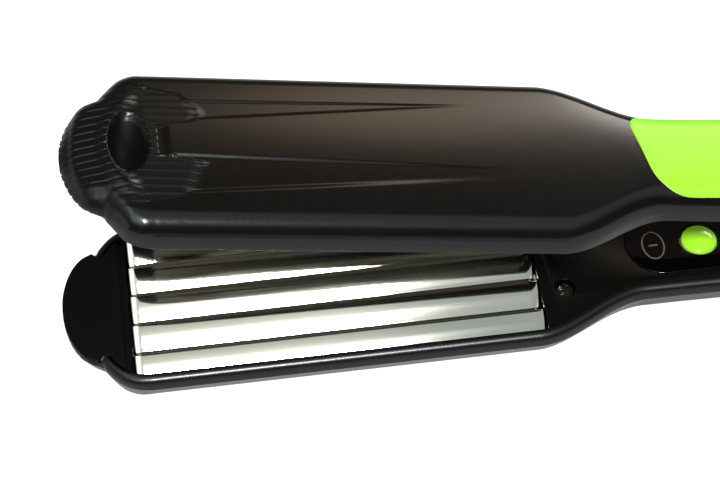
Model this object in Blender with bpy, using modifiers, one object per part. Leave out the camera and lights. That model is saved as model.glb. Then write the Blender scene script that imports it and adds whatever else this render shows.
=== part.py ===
"""Hair crimper with two hinged arms, corrugated heating plates and a power button.

Metres, +Z up. The arms run along X, tips at -X and hinge at +X, and the lower arm lies flat
on the ground plane. Both arms are drawn in one arm frame: X from the middle of the heating
plate towards the hinge, Y across, and Z outwards from the mating rim, so that a depth is a
distance into the casing. The lower arm is that frame turned over, and the upper arm is that
frame swung open about the hinge pin.
"""

import math

import bmesh
import bpy
from mathutils import Matrix, Vector
from mathutils.geometry import convex_hull_2d

# Overall layout, along the arm
PLATE_LENGTH = 0.095
TIP_LENGTH = 0.0195
TIP_OVERLAP = 0.0035
NECK_OVERLAP = 0.0015
NECK_LENGTH = 0.027
HANDLE_LENGTH = 0.1237
TAIL_LENGTH = 0.0153
TAIL_CORNER = 0.004
UPPER_END_SETBACK = 0.0107
FRAME_END_SETBACK = 0.0127
COVER_SETBACK = 0.0082
OPEN_ANGLE = math.radians(11.03)
RIM_GAP = 0.0014

# Widths, as half widths
ARM_HALF_WIDTH = 0.0234
HANDLE_HALF_WIDTH = 0.0134
GRIP_SWELL = 0.0011
PLATE_MARGIN = 0.0030

# Casing sections
LOWER_DEPTH = 0.0102
UPPER_DEPTH = 0.0083
UPPER_SWELL = 0.0020
COVER_HEIGHT = 0.0094
WALL = 0.0015
GAP = 0.0003
OVERRUN = 0.003
SEAT_STEP = 0.00015
RIM_WALL = {"lower": 0.0034, "upper": 0.0026, "cover": 0.0030}
BODY_STEP = {"lower": 0.0022, "upper": 0.0030, "cover": 0.0010}
HANDLE_STEP = 0.0010
BODY_SHOULDER = 0.0029
HANDLE_SHOULDER = 0.0035
TIP_WALL = 0.0018
TIP_STEP = 0.0016
TIP_SHOULDER = 0.0015
TIP_EDGE_DEPTH = 0.0029
TIP_FAN = 0.008
LEAST_FILLET = 0.0005

# Finger scoop near the tip
SCOOP_BACK = 0.0007
SCOOP_HALF_LENGTH = 0.0036
SCOOP_HALF_WIDTH = 0.0080
SCOOP_DEPTH = 0.0024

# Inner frame
FRAME_THICKNESS = 0.0022
WINDOW_MARGIN = 0.0005
STEP_WIDTH = 0.0019
RAIL_DROP = 0.0012
RAIL_CLEARANCE = 0.00035

# Corrugated plate
WAVE_PITCH = 0.00855
WAVE_HEIGHT = 0.00369
CREST_PROUD = 0.0013
PLATE_GAP = 0.0006
PLATE_BACK = 0.0030
PLATE_TRAVEL = 0.0007

# Heater stack behind each plate
HEATER_INSET = 0.0095
HEATER_WIDTH = 0.014
HEATER_THICKNESS = 0.0013
INSULATOR_MARGIN = 0.002
INSULATOR_THICKNESS = 0.0004
CLIP_WIDTH = 0.008
CLIP_THICKNESS = 0.0004
CLIP_OVERHANG = 0.0025
PAD_LENGTH = 0.004
PAD_WIDTH = 0.026
PAD_NOTCH_WIDTH = 0.009
SENSOR_RADIUS = 0.0011
SENSOR_LENGTH = 0.011
SENSOR_X = 0.012
SENSOR_Y = 0.0125

# Frame screws and their bosses
NECK_SCREW_INSET = 0.0062
NECK_SCREW_Y = 0.0099
TAIL_SCREW_SETBACK = 0.024
TAIL_SCREW_Y = 0.0070
SCREW_HEAD_RADIUS = 0.0022
SCREW_HEAD_HEIGHT = 0.0011
SCREW_HEAD_SINK = 0.0005
SCREW_RADIUS = 0.0011
SCREW_PAD_RADIUS = 0.0035
SCREW_PAD_FLOOR = 0.0032
SCREW_BITE = 0.0020
BOSS_RADIUS = 0.0026
BOSS_ROOT = 0.0003
SLOT_WIDTH = 0.0007
SLOT_DEPTH = 0.0005

# Control panel and power button, on the lower handle
PANEL_SETBACK = 0.0028
PANEL_LENGTH = 0.056
PANEL_HALF_WIDTH = 0.009
PANEL_THICKNESS = 0.0009
BUTTON_INSET = 0.0178
BUTTON_RADIUS = 0.0043
BUTTON_DOME = 0.0012
BUTTON_CLEARANCE = 0.0003
BUTTON_STEM_RADIUS = 0.0015
BUTTON_FLANGE_RADIUS = 0.0050
BUTTON_FLANGE = 0.0005
BUTTON_STEM_END = 0.0034
BUTTON_TRAVEL = 0.0005
RELIEF_DEPTH = 0.0009
SWITCH_SIDE = 0.006
SWITCH_HEIGHT = 0.0012
PLUNGER_RADIUS = 0.0016
PLUNGER_HEIGHT = 0.0005
PLUNGER_GAP = 0.0006
BOARD_INSET = 0.0058
BOARD_LENGTH = 0.062
BOARD_HALF_WIDTH = 0.0085
BOARD_THICKNESS = 0.0012
POST_RADIUS = 0.0018
POST_INSET = 0.0035
RELAY_SIZE = (0.012, 0.009, 0.0025)
RELAY_SETBACK = 0.012

# Coloured grip inserts on the outside of the handles
GRIP_SETBACK = 0.0075
GRIP_END_SETBACK = 0.0165
GRIP_HALF_WIDTH = 0.0118
GRIP_THICKNESS = 0.0007
GRIP_GAP = 0.0002
GRIP_SLANT = 0.0040
GRIP_FAR_CORNER = 0.0040
GRIP_NEAR_CORNER = 0.0065
GRIP_TAIL_CORNER = 0.0050

# Heater leads
LEAD_RADIUS = 0.0007
LEAD_SPREAD = 0.0030
LEAD_DEPTH = 0.0045
LEAD_END_GAP = 0.0006

# Hinge
EAR_RADIUS = 0.0055
EAR_BASE = 0.0005
EAR_FOOT = 0.0014
LOWER_EAR_INNER = 0.0080
UPPER_EAR_INNER = 0.0046
EAR_THICKNESS = 0.0028
PIN_RADIUS = 0.0020
PIN_FIT = 0.00006
PIN_HALF_LENGTH = 0.0110
BUSH_WALL = 0.0010
EAR_SLOT_HALF_WIDTH = 0.0082
EAR_SLOT_DEPTH = 0.0064
SPRING_RADIUS = 0.0032
SPRING_WIRE = 0.00055
SPRING_PITCH = 0.0017
SPRING_TURNS = 4
SPRING_LEG = 0.0095
SHELF_LENGTH = 0.0084
SHELF_HALF_WIDTH = 0.0042
SHELF_THICKNESS = 0.0012
HINGE_CAP_RADIUS = 0.0038
HINGE_CAP_PROUD = 0.0003

# Cord inlet swivel
SWIVEL_BORE = 0.0035
SWIVEL_NECK = 0.0045
SWIVEL_FLANGE = 0.0062
SWIVEL_FLANGE_LENGTH = 0.0016
SWIVEL_NOSE = 0.0054
SWIVEL_NOSE_TIP = 0.0046
SWIVEL_NOSE_LENGTH = 0.0100
SWIVEL_LIP = 0.0007

# Facets
ROUND_SIDES = 24
SMALL_SIDES = 16
ARC_STEPS = 3
NECK_STEPS = 8
HANDLE_STEPS = 7
WAVE_STEPS = 10
CURL_POINTS = 10

# The tip's outline, from its middle to where the straight side starts: shares of the tip
# length, measured forwards, and of the arm's half width
TIP_OUTLINE_SHARES = (
    (1.000, 0.000),
    (0.985, 0.197),
    (0.926, 0.397),
    (0.836, 0.551),
    (0.735, 0.645),
    (0.633, 0.690),
    (0.566, 0.722),
    (0.518, 0.786),
    (0.431, 0.866),
    (0.318, 0.932),
    (0.174, 0.983),
    (0.000, 1.000),
)
TAB_POINTS = 6

COLOURS = {
    "shell_black": ((0.012, 0.012, 0.013), 0.28, 0.0),
    "matte_charcoal": ((0.020, 0.020, 0.020), 0.62, 0.0),
    "gloss_black": ((0.006, 0.005, 0.005), 0.10, 0.0),
    "lime_plastic": ((0.42, 0.90, 0.05), 0.40, 0.0),
    "polished_aluminium": ((0.78, 0.76, 0.72), 0.12, 1.0),
    "steel": ((0.55, 0.55, 0.56), 0.30, 1.0),
    "spring_steel": ((0.40, 0.40, 0.42), 0.35, 1.0),
    "ceramic": ((0.80, 0.78, 0.72), 0.70, 0.0),
    "mica": ((0.45, 0.36, 0.24), 0.60, 0.0),
    "silicone": ((0.55, 0.12, 0.08), 0.60, 0.0),
    "board_green": ((0.03, 0.16, 0.07), 0.45, 0.0),
    "brass": ((0.70, 0.52, 0.22), 0.30, 1.0),
    "lead_white": ((0.75, 0.75, 0.72), 0.50, 0.0),
    "rubber": ((0.018, 0.018, 0.018), 0.70, 0.0),
}

TIP_ROOT = TIP_OVERLAP - PLATE_LENGTH / 2
TIP_X = TIP_ROOT - TIP_LENGTH
NECK_START = PLATE_LENGTH / 2 - NECK_OVERLAP
NECK_END = NECK_START + NECK_LENGTH
HINGE_X = NECK_END + HANDLE_LENGTH
TAIL_X = HINGE_X + TAIL_LENGTH
UPPER_END_X = HINGE_X - UPPER_END_SETBACK
FRAME_END_X = HINGE_X - FRAME_END_SETBACK
COVER_START_X = HINGE_X - COVER_SETBACK
PLATE_HALF_WIDTH = ARM_HALF_WIDTH - PLATE_MARGIN
WINDOW_START = -PLATE_LENGTH / 2 - WINDOW_MARGIN
WINDOW_END = PLATE_LENGTH / 2 + WINDOW_MARGIN
HEATER_LENGTH = PLATE_LENGTH - 2 * HEATER_INSET
PAD_OFFSET = (HEATER_LENGTH + INSULATOR_MARGIN + PAD_LENGTH) / 2 + 2 * GAP
NECK_SCREW_X = PLATE_LENGTH / 2 + NECK_SCREW_INSET
PANEL_START = NECK_END - PANEL_SETBACK
BUTTON_X = PANEL_START + BUTTON_INSET
BOARD_START = PANEL_START + BOARD_INSET
GRIP_START = NECK_END - GRIP_SETBACK
HINGE_DEPTH = -RIM_GAP / 2
SWIVEL_END_X = TAIL_X + GAP + SWIVEL_NOSE_LENGTH
MIDDLE_X = (TIP_X + SWIVEL_END_X) / 2


def smooth(share):
    share = min(max(share, 0.0), 1.0)
    return share * share * (3 - 2 * share)


def mix(low, high, share):
    return low + (high - low) * share


def swell(x):
    """0 at both ends of the handle and 1 in its middle."""
    share = min(max((x - NECK_END) / (HINGE_X - NECK_END), 0.0), 1.0)
    return math.sin(math.pi * share) ** 2


def tip_outline():
    return [
        (TIP_ROOT - along * TIP_LENGTH, across * ARM_HALF_WIDTH)
        for along, across in TIP_OUTLINE_SHARES
    ]


def half_width(x):
    """Half the arm's width at the rim."""
    if x < TIP_ROOT:
        before = [p for p in tip_outline() if p[0] <= x][-1]
        after = [p for p in tip_outline() if p[0] > x][0]
        return mix(before[1], after[1], (x - before[0]) / (after[0] - before[0]))
    neck = smooth((x - NECK_START) / NECK_LENGTH)
    return mix(ARM_HALF_WIDTH, HANDLE_HALF_WIDTH, neck) + GRIP_SWELL * swell(x)


def rim_stations(start, end):
    """X positions along the straight-sided part of the arm, from start to end."""
    neck = [NECK_START + NECK_LENGTH * i / NECK_STEPS for i in range(NECK_STEPS + 1)]
    handle = [mix(NECK_END, HINGE_X, i / HANDLE_STEPS) for i in range(1, HANDLE_STEPS)]
    inside = [x for x in (TIP_ROOT, *neck, *handle) if start + GAP < x < end - GAP]
    return [start, *inside, end]


def rim_outline(start, end, tail_corner=0.0):
    """Half of the rim outline, at y >= 0, from the tip, or from start, to the tail."""
    points = tip_outline()[:-1] if start < TIP_ROOT - TIP_OVERLAP * 2 else []
    straight = rim_stations(TIP_ROOT if points else start, end - tail_corner)
    points += [(x, half_width(x)) for x in straight]
    if tail_corner:
        last = points[-1][1]
        for i in range(1, ARC_STEPS + 1):
            turn = math.pi / 2 * i / (ARC_STEPS + 1)
            across = last - tail_corner * (1 - math.cos(turn))
            points.append((end - tail_corner * (1 - math.sin(turn)), across))
        points.append((end, last - tail_corner))
    return points


def casing_depth(x, arm):
    """Depth of the casing's outer face below the rim, at its middle."""
    full = {
        "lower": LOWER_DEPTH,
        "upper": UPPER_DEPTH + UPPER_SWELL * swell(x),
        "cover": COVER_HEIGHT,
    }[arm]
    tip = max((TIP_ROOT - x) / TIP_LENGTH, 0.0)
    return full - (full - TIP_EDGE_DEPTH) * tip**2


def section(point, arm, offset):
    """One half section of a casing, from the rim over the shoulder to the spine."""
    x, y = point
    tip = max((TIP_ROOT - x) / TIP_LENGTH, 0.0)
    spine = Vector((x if tip == 0 else TIP_ROOT - tip * TIP_FAN, 0.0))
    rim = Vector((x, y))
    inward = (spine - rim).normalized()
    handle = smooth((x - NECK_START) / NECK_LENGTH)
    wall = mix(RIM_WALL[arm], TIP_WALL, tip)
    step = mix(mix(BODY_STEP[arm], HANDLE_STEP, handle), TIP_STEP, tip)
    shoulder = mix(mix(BODY_SHOULDER, HANDLE_SHOULDER, handle), TIP_SHOULDER, tip)
    fillet = max(shoulder - offset, LEAST_FILLET)

    def at(inset, rise):
        place = rim + inward * inset
        depth = casing_depth(place.x, arm)
        return Vector((place.x, place.y, rise(depth)))

    points = [at(offset, lambda depth: wall)]
    for i in range(ARC_STEPS + 1):
        turn = math.pi / 2 * i / ARC_STEPS
        inset = step + shoulder - fillet * math.cos(turn)
        points.append(at(inset, lambda depth: depth - shoulder + fillet * math.sin(turn)))
    points.append(Vector((spine.x, 0.0, casing_depth(spine.x, arm) - offset)))
    return points


def material(name):
    found = bpy.data.materials.get(name)
    if found:
        return found
    colour, roughness, metallic = COLOURS[name]
    made = bpy.data.materials.new(name)
    made.use_nodes = True
    shader = made.node_tree.nodes["Principled BSDF"]
    shader.inputs["Base Color"].default_value = (*colour, 1.0)
    shader.inputs["Roughness"].default_value = roughness
    shader.inputs["Metallic"].default_value = metallic
    made.diffuse_color = (*colour, 1.0)
    return made


def new_collection(name):
    made = bpy.data.collections.new(name)
    bpy.context.scene.collection.children.link(made)
    return made


def add(name, mesh, finish, parent):
    """A named piece of the crimper, with its own material."""
    own = material(finish).copy()
    own.name = name
    mesh.materials.clear()
    mesh.materials.append(own)
    made = bpy.data.objects.new(name, mesh)
    made.parent = parent
    PARTS.objects.link(made)
    return made


def helper(mesh, parent):
    """A cutter or an added shape, which isn't a piece of its own."""
    made = bpy.data.objects.new("tool", mesh)
    made.parent = parent
    made.hide_render = True
    made.display_type = "WIRE"
    CUTTERS.objects.link(made)
    return made


def boolean(target, tool, operation):
    modifier = target.modifiers.new(operation.title(), "BOOLEAN")
    modifier.operation = operation
    modifier.object = tool


def cut(target, mesh):
    boolean(target, helper(mesh, target.parent), "DIFFERENCE")


def join(target, mesh):
    boolean(target, helper(mesh, target.parent), "UNION")


def mirror_half(obj):
    """Completes a half that is open at the middle plane."""
    modifier = obj.modifiers.new("Mirror", "MIRROR")
    modifier.use_axis = (False, True, False)
    modifier.merge_threshold = 0.00001
    return obj


def box_mesh(low, high):
    shape = bmesh.new()
    bmesh.ops.create_cube(shape, size=1)
    low, high = Vector(low), Vector(high)
    for vertex in shape.verts:
        vertex.co = (low + high) / 2 + vertex.co * (high - low)
    return finish_mesh(shape)


def finish_mesh(shape):
    shape.normal_update()
    bmesh.ops.recalc_face_normals(shape, faces=shape.faces)
    mesh = bpy.data.meshes.new("shape")
    shape.to_mesh(mesh)
    shape.free()
    return mesh


def rod_mesh(start, end, radius, sides=ROUND_SIDES, end_radius=None):
    """A round bar, or a cone where the end has another radius."""
    start, end = Vector(start), Vector(end)
    shape = bmesh.new()
    bmesh.ops.create_cone(
        shape,
        cap_ends=True,
        segments=sides,
        radius1=radius,
        radius2=radius if end_radius is None else end_radius,
        depth=(end - start).length,
    )
    turn = (end - start).to_track_quat("Z", "Y")
    half_facet = Matrix.Rotation(math.pi / sides, 3, "Z")
    for vertex in shape.verts:
        vertex.co = (start + end) / 2 + turn @ (half_facet @ vertex.co)
    mesh = finish_mesh(shape)
    mesh.shade_smooth()
    mesh.set_sharp_from_angle(angle=math.radians(35))
    return mesh


def ball_mesh(centre, radii, sides=ROUND_SIDES):
    shape = bmesh.new()
    bmesh.ops.create_uvsphere(shape, u_segments=sides, v_segments=sides // 2, radius=1)
    for vertex in shape.verts:
        vertex.co = Vector(centre) + vertex.co * Vector(radii)
    mesh = finish_mesh(shape)
    mesh.shade_smooth()
    return mesh


def curve_mesh(curve):
    """The mesh of a curve, with its caps welded, and the curve removed."""
    holder = bpy.data.objects.new("curve", curve)
    bpy.context.scene.collection.objects.link(holder)
    graph = bpy.context.evaluated_depsgraph_get()
    mesh = bpy.data.meshes.new_from_object(holder.evaluated_get(graph))
    bpy.data.objects.remove(holder)
    bpy.data.curves.remove(curve)
    shape = bmesh.new()
    shape.from_mesh(mesh)
    bmesh.ops.remove_doubles(shape, verts=shape.verts, dist=0.000001)
    bmesh.ops.recalc_face_normals(shape, faces=shape.faces)
    shape.to_mesh(mesh)
    shape.free()
    return mesh


def flat_mesh(outline, low, high):
    """A flat outline in X and Y, filled and extruded from low to high."""
    curve = bpy.data.curves.new("outline", "CURVE")
    curve.dimensions = "2D"
    curve.fill_mode = "BOTH"
    curve.extrude = (high - low) / 2
    spline = curve.splines.new("POLY")
    spline.points.add(len(outline) - 1)
    for point, (x, y) in zip(spline.points, outline):
        point.co = (x, y, 0.0, 1.0)
    spline.use_cyclic_u = True
    mesh = curve_mesh(curve)
    for vertex in mesh.vertices:
        vertex.co.z += (low + high) / 2
    return mesh


def tube_mesh(points, radius, resolution=1):
    """A round wire along the points."""
    curve = bpy.data.curves.new("wire", "CURVE")
    curve.dimensions = "3D"
    curve.bevel_depth = radius
    curve.bevel_resolution = resolution
    curve.use_fill_caps = True
    spline = curve.splines.new("POLY")
    spline.points.add(len(points) - 1)
    for point, place in zip(spline.points, points):
        point.co = (*place, 1.0)
    mesh = curve_mesh(curve)
    mesh.shade_smooth()
    return mesh


def both_sides(half):
    """A closed outline from its half at y >= 0."""
    return half + [(x, -y) for x, y in reversed(half) if y > 0]


def loft_half_mesh(outline, arm, offset, base):
    """Half of a casing-shaped solid inside the outline, open at the middle plane.

    The base is the depth where it starts, and the offset takes it inside the outer face.
    """
    shape = bmesh.new()
    rows = []
    for point in outline:
        side = section(point, arm, offset)
        rim = Vector((*side[0].xy, base))
        spine = Vector((side[-1].x, 0.0, base))
        rows.append([shape.verts.new(p) for p in (spine, rim, *side)])
    for row, following in zip(rows, rows[1:]):
        for i in range(len(row) - 1):
            shape.faces.new((row[i], following[i], following[i + 1], row[i + 1]))
    shape.faces.new(rows[-1])
    if outline[0][1] > 0:
        shape.faces.new(reversed(rows[0]))
    bmesh.ops.remove_doubles(shape, verts=shape.verts, dist=0.000001)
    return finish_mesh(shape)


def loft_helper(outline, arm, offset, base, parent):
    return mirror_half(helper(loft_half_mesh(outline, arm, offset, base), parent))


def frame_outline(start_clearance, side_clearance):
    """Outline of the inner frame: flush with the tab at the tip, and inside the walls behind."""
    tab = [
        (x - start_clearance, y * (1 + start_clearance / ARM_HALF_WIDTH))
        for x, y in tip_outline()[:TAB_POINTS]
    ]
    inside = rim_outline(TIP_X, FRAME_END_X)[TAB_POINTS + 1 :]
    body = [(x, y - WALL - side_clearance) for x, y in inside]
    return both_sides(tab + body)


def grip_outline(grow):
    """Outline of the grip insert seen from outside, with rounded corners."""
    start, end = GRIP_START - grow, UPPER_END_X - GRIP_END_SETBACK + grow
    side = GRIP_HALF_WIDTH + grow
    corners = (
        (start, side, GRIP_FAR_CORNER),
        (start + GRIP_SLANT, -side, GRIP_NEAR_CORNER),
        (end, -side, GRIP_TAIL_CORNER),
        (end, side, GRIP_TAIL_CORNER),
    )
    outline = []
    for i, (x, y, radius) in enumerate(corners):
        corner = Vector((x, y))
        before = (Vector(corners[i - 1][:2]) - corner).normalized() * radius
        after = (Vector(corners[(i + 1) % len(corners)][:2]) - corner).normalized() * radius
        for j in range(ARC_STEPS + 2):
            share = j / (ARC_STEPS + 1)
            pull_in = before * (1 - share) ** 2 + after * share**2
            outline.append(tuple(corner + pull_in))
    return outline


def make_casing(arm, parent):
    """Outer shell of an arm, hollow, with a solid finger tip that has a scoop in it."""
    end = TAIL_X if arm == "lower" else UPPER_END_X
    corner = TAIL_CORNER if arm == "lower" else 0.0
    outline = rim_outline(TIP_X, end, corner)
    casing = add(f"{arm}_casing", loft_half_mesh(outline, arm, 0.0, 0.0), "shell_black", parent)
    mirror_half(casing)
    hollow = rim_outline(TIP_ROOT, end - WALL, corner)
    hollow = [(x, y) for x, y in hollow if x <= end - WALL]
    boolean(casing, loft_helper(hollow, arm, WALL, -OVERRUN, parent), "DIFFERENCE")
    cut(casing, flat_mesh(frame_outline(OVERRUN, -SEAT_STEP), -OVERRUN, FRAME_THICKNESS + GAP))
    side, floor = PLATE_HALF_WIDTH + RAIL_CLEARANCE, PLATE_BACK + PLATE_TRAVEL + GAP
    cut(casing, box_mesh((WINDOW_START, -side, 0.0), (TIP_ROOT + WALL, side, floor)))
    scoop_x = TIP_ROOT - SCOOP_BACK - SCOOP_HALF_LENGTH
    scoop_floor = casing_depth(scoop_x, arm)
    radii = (SCOOP_HALF_LENGTH, SCOOP_HALF_WIDTH, SCOOP_DEPTH)
    cut(casing, ball_mesh((scoop_x, 0.0, scoop_floor), radii))
    pocket = helper(flat_mesh(grip_outline(GRIP_GAP), 0.0, LOWER_DEPTH + OVERRUN), parent)
    inside = rim_outline(NECK_START, end)
    core = loft_helper(inside, arm, GRIP_THICKNESS + GRIP_GAP, -OVERRUN, parent)
    boolean(pocket, core, "DIFFERENCE")
    boolean(casing, pocket, "DIFFERENCE")
    for x, y in screw_places():
        floor = casing_depth(x, arm) - WALL + BOSS_ROOT
        boss = rod_mesh((x, y, boss_top()), (x, y, floor), BOSS_RADIUS, SMALL_SIDES)
        join(casing, boss)
        bottom = boss_top() + SCREW_BITE + GAP
        cut(casing, rod_mesh((x, y, 0.0), (x, y, bottom), SCREW_RADIUS + GAP, SMALL_SIDES))
    return casing


def make_grip(arm, parent):
    """Coloured insert that follows the handle's outer face."""
    mesh = flat_mesh(grip_outline(0.0), 0.0, LOWER_DEPTH + OVERRUN)
    grip = add(f"{arm}_grip", mesh, "lime_plastic", parent)
    outline = rim_outline(NECK_START, UPPER_END_X)
    boolean(grip, loft_helper(outline, arm, 0.0, -OVERRUN, parent), "INTERSECT")
    core = loft_helper(outline, arm, GRIP_THICKNESS, -OVERRUN, parent)
    boolean(grip, core, "DIFFERENCE")


def screw_places():
    rear = FRAME_END_X - TAIL_SCREW_SETBACK
    return [
        (x, side * y)
        for x, y in ((NECK_SCREW_X, NECK_SCREW_Y), (rear, TAIL_SCREW_Y))
        for side in (1, -1)
    ]


def boss_top():
    return SCREW_PAD_FLOOR + GAP


def make_screws(arm, parent):
    """Self-tapping screws that hold the frame down on the casing's bosses."""
    for number, (x, y) in enumerate(screw_places(), 1):
        under_head = SCREW_HEAD_SINK + SCREW_HEAD_HEIGHT
        head = rod_mesh((x, y, SCREW_HEAD_SINK), (x, y, under_head), SCREW_HEAD_RADIUS, SMALL_SIDES)
        screw = add(f"{arm}_screw_{number}", head, "steel", parent)
        end = boss_top() + SCREW_BITE
        join(screw, rod_mesh((x, y, under_head - GAP), (x, y, end), SCREW_RADIUS, SMALL_SIDES))
        reach, half = SCREW_HEAD_RADIUS - SLOT_DEPTH, SLOT_WIDTH / 2
        top, floor = SCREW_HEAD_SINK - OVERRUN, SCREW_HEAD_SINK + SLOT_DEPTH
        cut(screw, box_mesh((x - reach, y - half, top), (x + reach, y + half, floor)))
        cut(screw, box_mesh((x - half, y - reach, top), (x + half, y + reach, floor)))


def ear_mesh(low_y, high_y):
    """A hinge ear round the pin's axis, with a foot at the end of the frame."""
    foot_x = FRAME_END_X - EAR_FOOT / 2
    foot = [(foot_x, EAR_BASE), (foot_x, shelf_depth() + SHELF_THICKNESS / 2)]
    turns = [2 * math.pi * i / ROUND_SIDES for i in range(ROUND_SIDES)]
    ring = [
        (HINGE_X + EAR_RADIUS * math.cos(t), HINGE_DEPTH + EAR_RADIUS * math.sin(t))
        for t in turns
    ]
    points = foot + ring
    outline = [points[i] for i in convex_hull_2d(points)]
    mesh = flat_mesh(outline, low_y, high_y)
    for vertex in mesh.vertices:
        x, depth, across = vertex.co
        vertex.co = (x, across, depth)
    mesh.flip_normals()
    return mesh


def shelf_depth():
    """Depth of the face that a leg of the hinge spring presses on."""
    return HINGE_DEPTH + SPRING_RADIUS + SPRING_WIRE + GAP


def make_frame(arm, parent):
    """Inner cover of an arm, with the plate's window, side rails and hinge ears."""
    mesh = flat_mesh(frame_outline(0.0, GAP), 0.0, FRAME_THICKNESS)
    frame = add(f"{arm}_frame", mesh, "matte_charcoal", parent)
    side, inner = ARM_HALF_WIDTH, PLATE_HALF_WIDTH + RAIL_CLEARANCE
    cut(frame, box_mesh((WINDOW_START, -inner, -OVERRUN), (WINDOW_END, inner, OVERRUN)))
    step_start = WINDOW_START - STEP_WIDTH
    cut(frame, box_mesh((step_start, -side, -OVERRUN), (WINDOW_END, side, RAIL_DROP)))
    for x, y in screw_places():
        pad = rod_mesh((x, y, GAP), (x, y, SCREW_PAD_FLOOR), SCREW_PAD_RADIUS, SMALL_SIDES)
        join(frame, pad)
        recess = SCREW_HEAD_SINK + SCREW_HEAD_HEIGHT + GAP
        hole = rod_mesh((x, y, -OVERRUN), (x, y, recess), SCREW_HEAD_RADIUS + GAP, SMALL_SIDES)
        cut(frame, hole)
        shank = rod_mesh((x, y, 0.0), (x, y, OVERRUN * 2), SCREW_RADIUS + GAP, SMALL_SIDES)
        cut(frame, shank)
    add_hinge_end(frame, arm)
    return frame


def add_hinge_end(frame, arm):
    inner = LOWER_EAR_INNER if arm == "lower" else UPPER_EAR_INNER
    bore = PIN_RADIUS + PIN_FIT
    if arm == "upper":
        bore = PIN_RADIUS + PIN_FIT + BUSH_WALL + GAP
    outer = inner + EAR_THICKNESS
    wall_start = FRAME_END_X - EAR_FOOT
    floor = shelf_depth() + SHELF_THICKNESS
    across = LOWER_EAR_INNER + EAR_THICKNESS / 2
    join(frame, box_mesh((wall_start, -across, GAP), (FRAME_END_X - GAP, across, floor)))
    shelf_end = wall_start + SHELF_LENGTH
    low = (wall_start, -SHELF_HALF_WIDTH, shelf_depth())
    join(frame, box_mesh(low, (shelf_end, SHELF_HALF_WIDTH, floor)))
    join(frame, ear_mesh(inner, outer))
    join(frame, ear_mesh(-outer, -inner))
    axle = ((HINGE_X, -outer - OVERRUN, HINGE_DEPTH), (HINGE_X, outer + OVERRUN, HINGE_DEPTH))
    cut(frame, rod_mesh(*axle, bore))


def wave_depth(y, arm):
    """Depth of the corrugated face at y. The two faces mesh, a plate gap apart, when closed."""
    middle = WAVE_HEIGHT / 2 - CREST_PROUD
    wave = WAVE_HEIGHT / 2 * math.cos(2 * math.pi * y / WAVE_PITCH)
    return middle - wave if arm == "lower" else PLATE_GAP - RIM_GAP - middle + wave


def make_plate(arm, parent):
    """Corrugated heating plate."""
    count = round(2 * PLATE_HALF_WIDTH / WAVE_PITCH * WAVE_STEPS)
    outline = [(-PLATE_HALF_WIDTH, PLATE_BACK)]
    for i in range(count + 1):
        y = mix(-PLATE_HALF_WIDTH, PLATE_HALF_WIDTH, i / count)
        outline.append((y, wave_depth(y, arm)))
    outline.append((PLATE_HALF_WIDTH, PLATE_BACK))
    mesh = flat_mesh(outline, -PLATE_LENGTH / 2, PLATE_LENGTH / 2)
    for vertex in mesh.vertices:
        y, depth, x = vertex.co
        vertex.co = (x, y, depth)
    mesh.shade_smooth()
    mesh.set_sharp_from_angle(angle=math.radians(40))
    return add(f"{arm}_plate", mesh, "polished_aluminium", parent)


def centred_box(length, width, low, high, x=0.0):
    return box_mesh((x - length / 2, -width / 2, low), (x + length / 2, width / 2, high))


def make_heater_stack(arm, parent):
    """Heater, insulating sheet and clip behind the plate, and what senses its heat."""
    top = PLATE_BACK + GAP
    bottom = top + HEATER_THICKNESS
    mesh = centred_box(HEATER_LENGTH, HEATER_WIDTH, top, bottom)
    add(f"{arm}_heater", mesh, "ceramic", parent)
    top, length = bottom + GAP, HEATER_LENGTH + INSULATOR_MARGIN
    bottom = top + INSULATOR_THICKNESS
    width = HEATER_WIDTH + 2 * INSULATOR_MARGIN
    add(f"{arm}_insulator", centred_box(length, width, top, bottom), "mica", parent)
    top = bottom + GAP
    bottom = top + CLIP_THICKNESS
    length = PAD_OFFSET * 2 - PAD_LENGTH - 2 * CLIP_OVERHANG
    clip = add(f"{arm}_heater_clip", centred_box(length, CLIP_WIDTH, top, bottom), "spring_steel", parent)
    clip.data.set_sharp_from_angle(angle=math.radians(30))
    depth = PLATE_BACK + GAP + SENSOR_RADIUS
    name, finish = ("thermistor", "ceramic") if arm == "lower" else ("thermal_fuse", "steel")
    ends = [(x, SENSOR_Y, depth) for x in (SENSOR_X - SENSOR_LENGTH / 2, SENSOR_X + SENSOR_LENGTH / 2)]
    add(name, rod_mesh(*ends, SENSOR_RADIUS, SMALL_SIDES), finish, parent)


def make_pads(arm, parent):
    """Silicone pads that carry the floating plate at its ends, notched for the leads."""
    floor = casing_depth(0.0, arm) - WALL - GAP
    for place, x in (("front", -PAD_OFFSET), ("rear", PAD_OFFSET)):
        mesh = centred_box(PAD_LENGTH, PAD_WIDTH, PLATE_BACK + GAP, floor, x)
        pad = add(f"{arm}_pad_{place}", mesh, "silicone", parent)
        notch, roof = PAD_LENGTH + OVERRUN, LEAD_DEPTH - GAP
        cut(pad, centred_box(notch, PAD_NOTCH_WIDTH, roof, LOWER_DEPTH, x))


def make_leads(arm, parent):
    """Two insulated leads along the handle to the heater's end."""
    start = (HEATER_LENGTH + INSULATOR_MARGIN) / 2 + LEAD_END_GAP
    end = BOARD_START if arm == "lower" else FRAME_END_X - TAIL_SCREW_SETBACK
    depth = LEAD_DEPTH + LEAD_RADIUS
    for name, side in (("a", 1), ("b", -1)):
        points = []
        for i in range(CURL_POINTS):
            share = i / (CURL_POINTS - 1)
            across = side * mix(LEAD_SPREAD, LEAD_SPREAD / 2, math.sin(math.pi * share))
            points.append((mix(start, end - LEAD_END_GAP, share), across, depth))
        add(f"{arm}_lead_{name}", tube_mesh(points, LEAD_RADIUS), "lead_white", parent)


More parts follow.
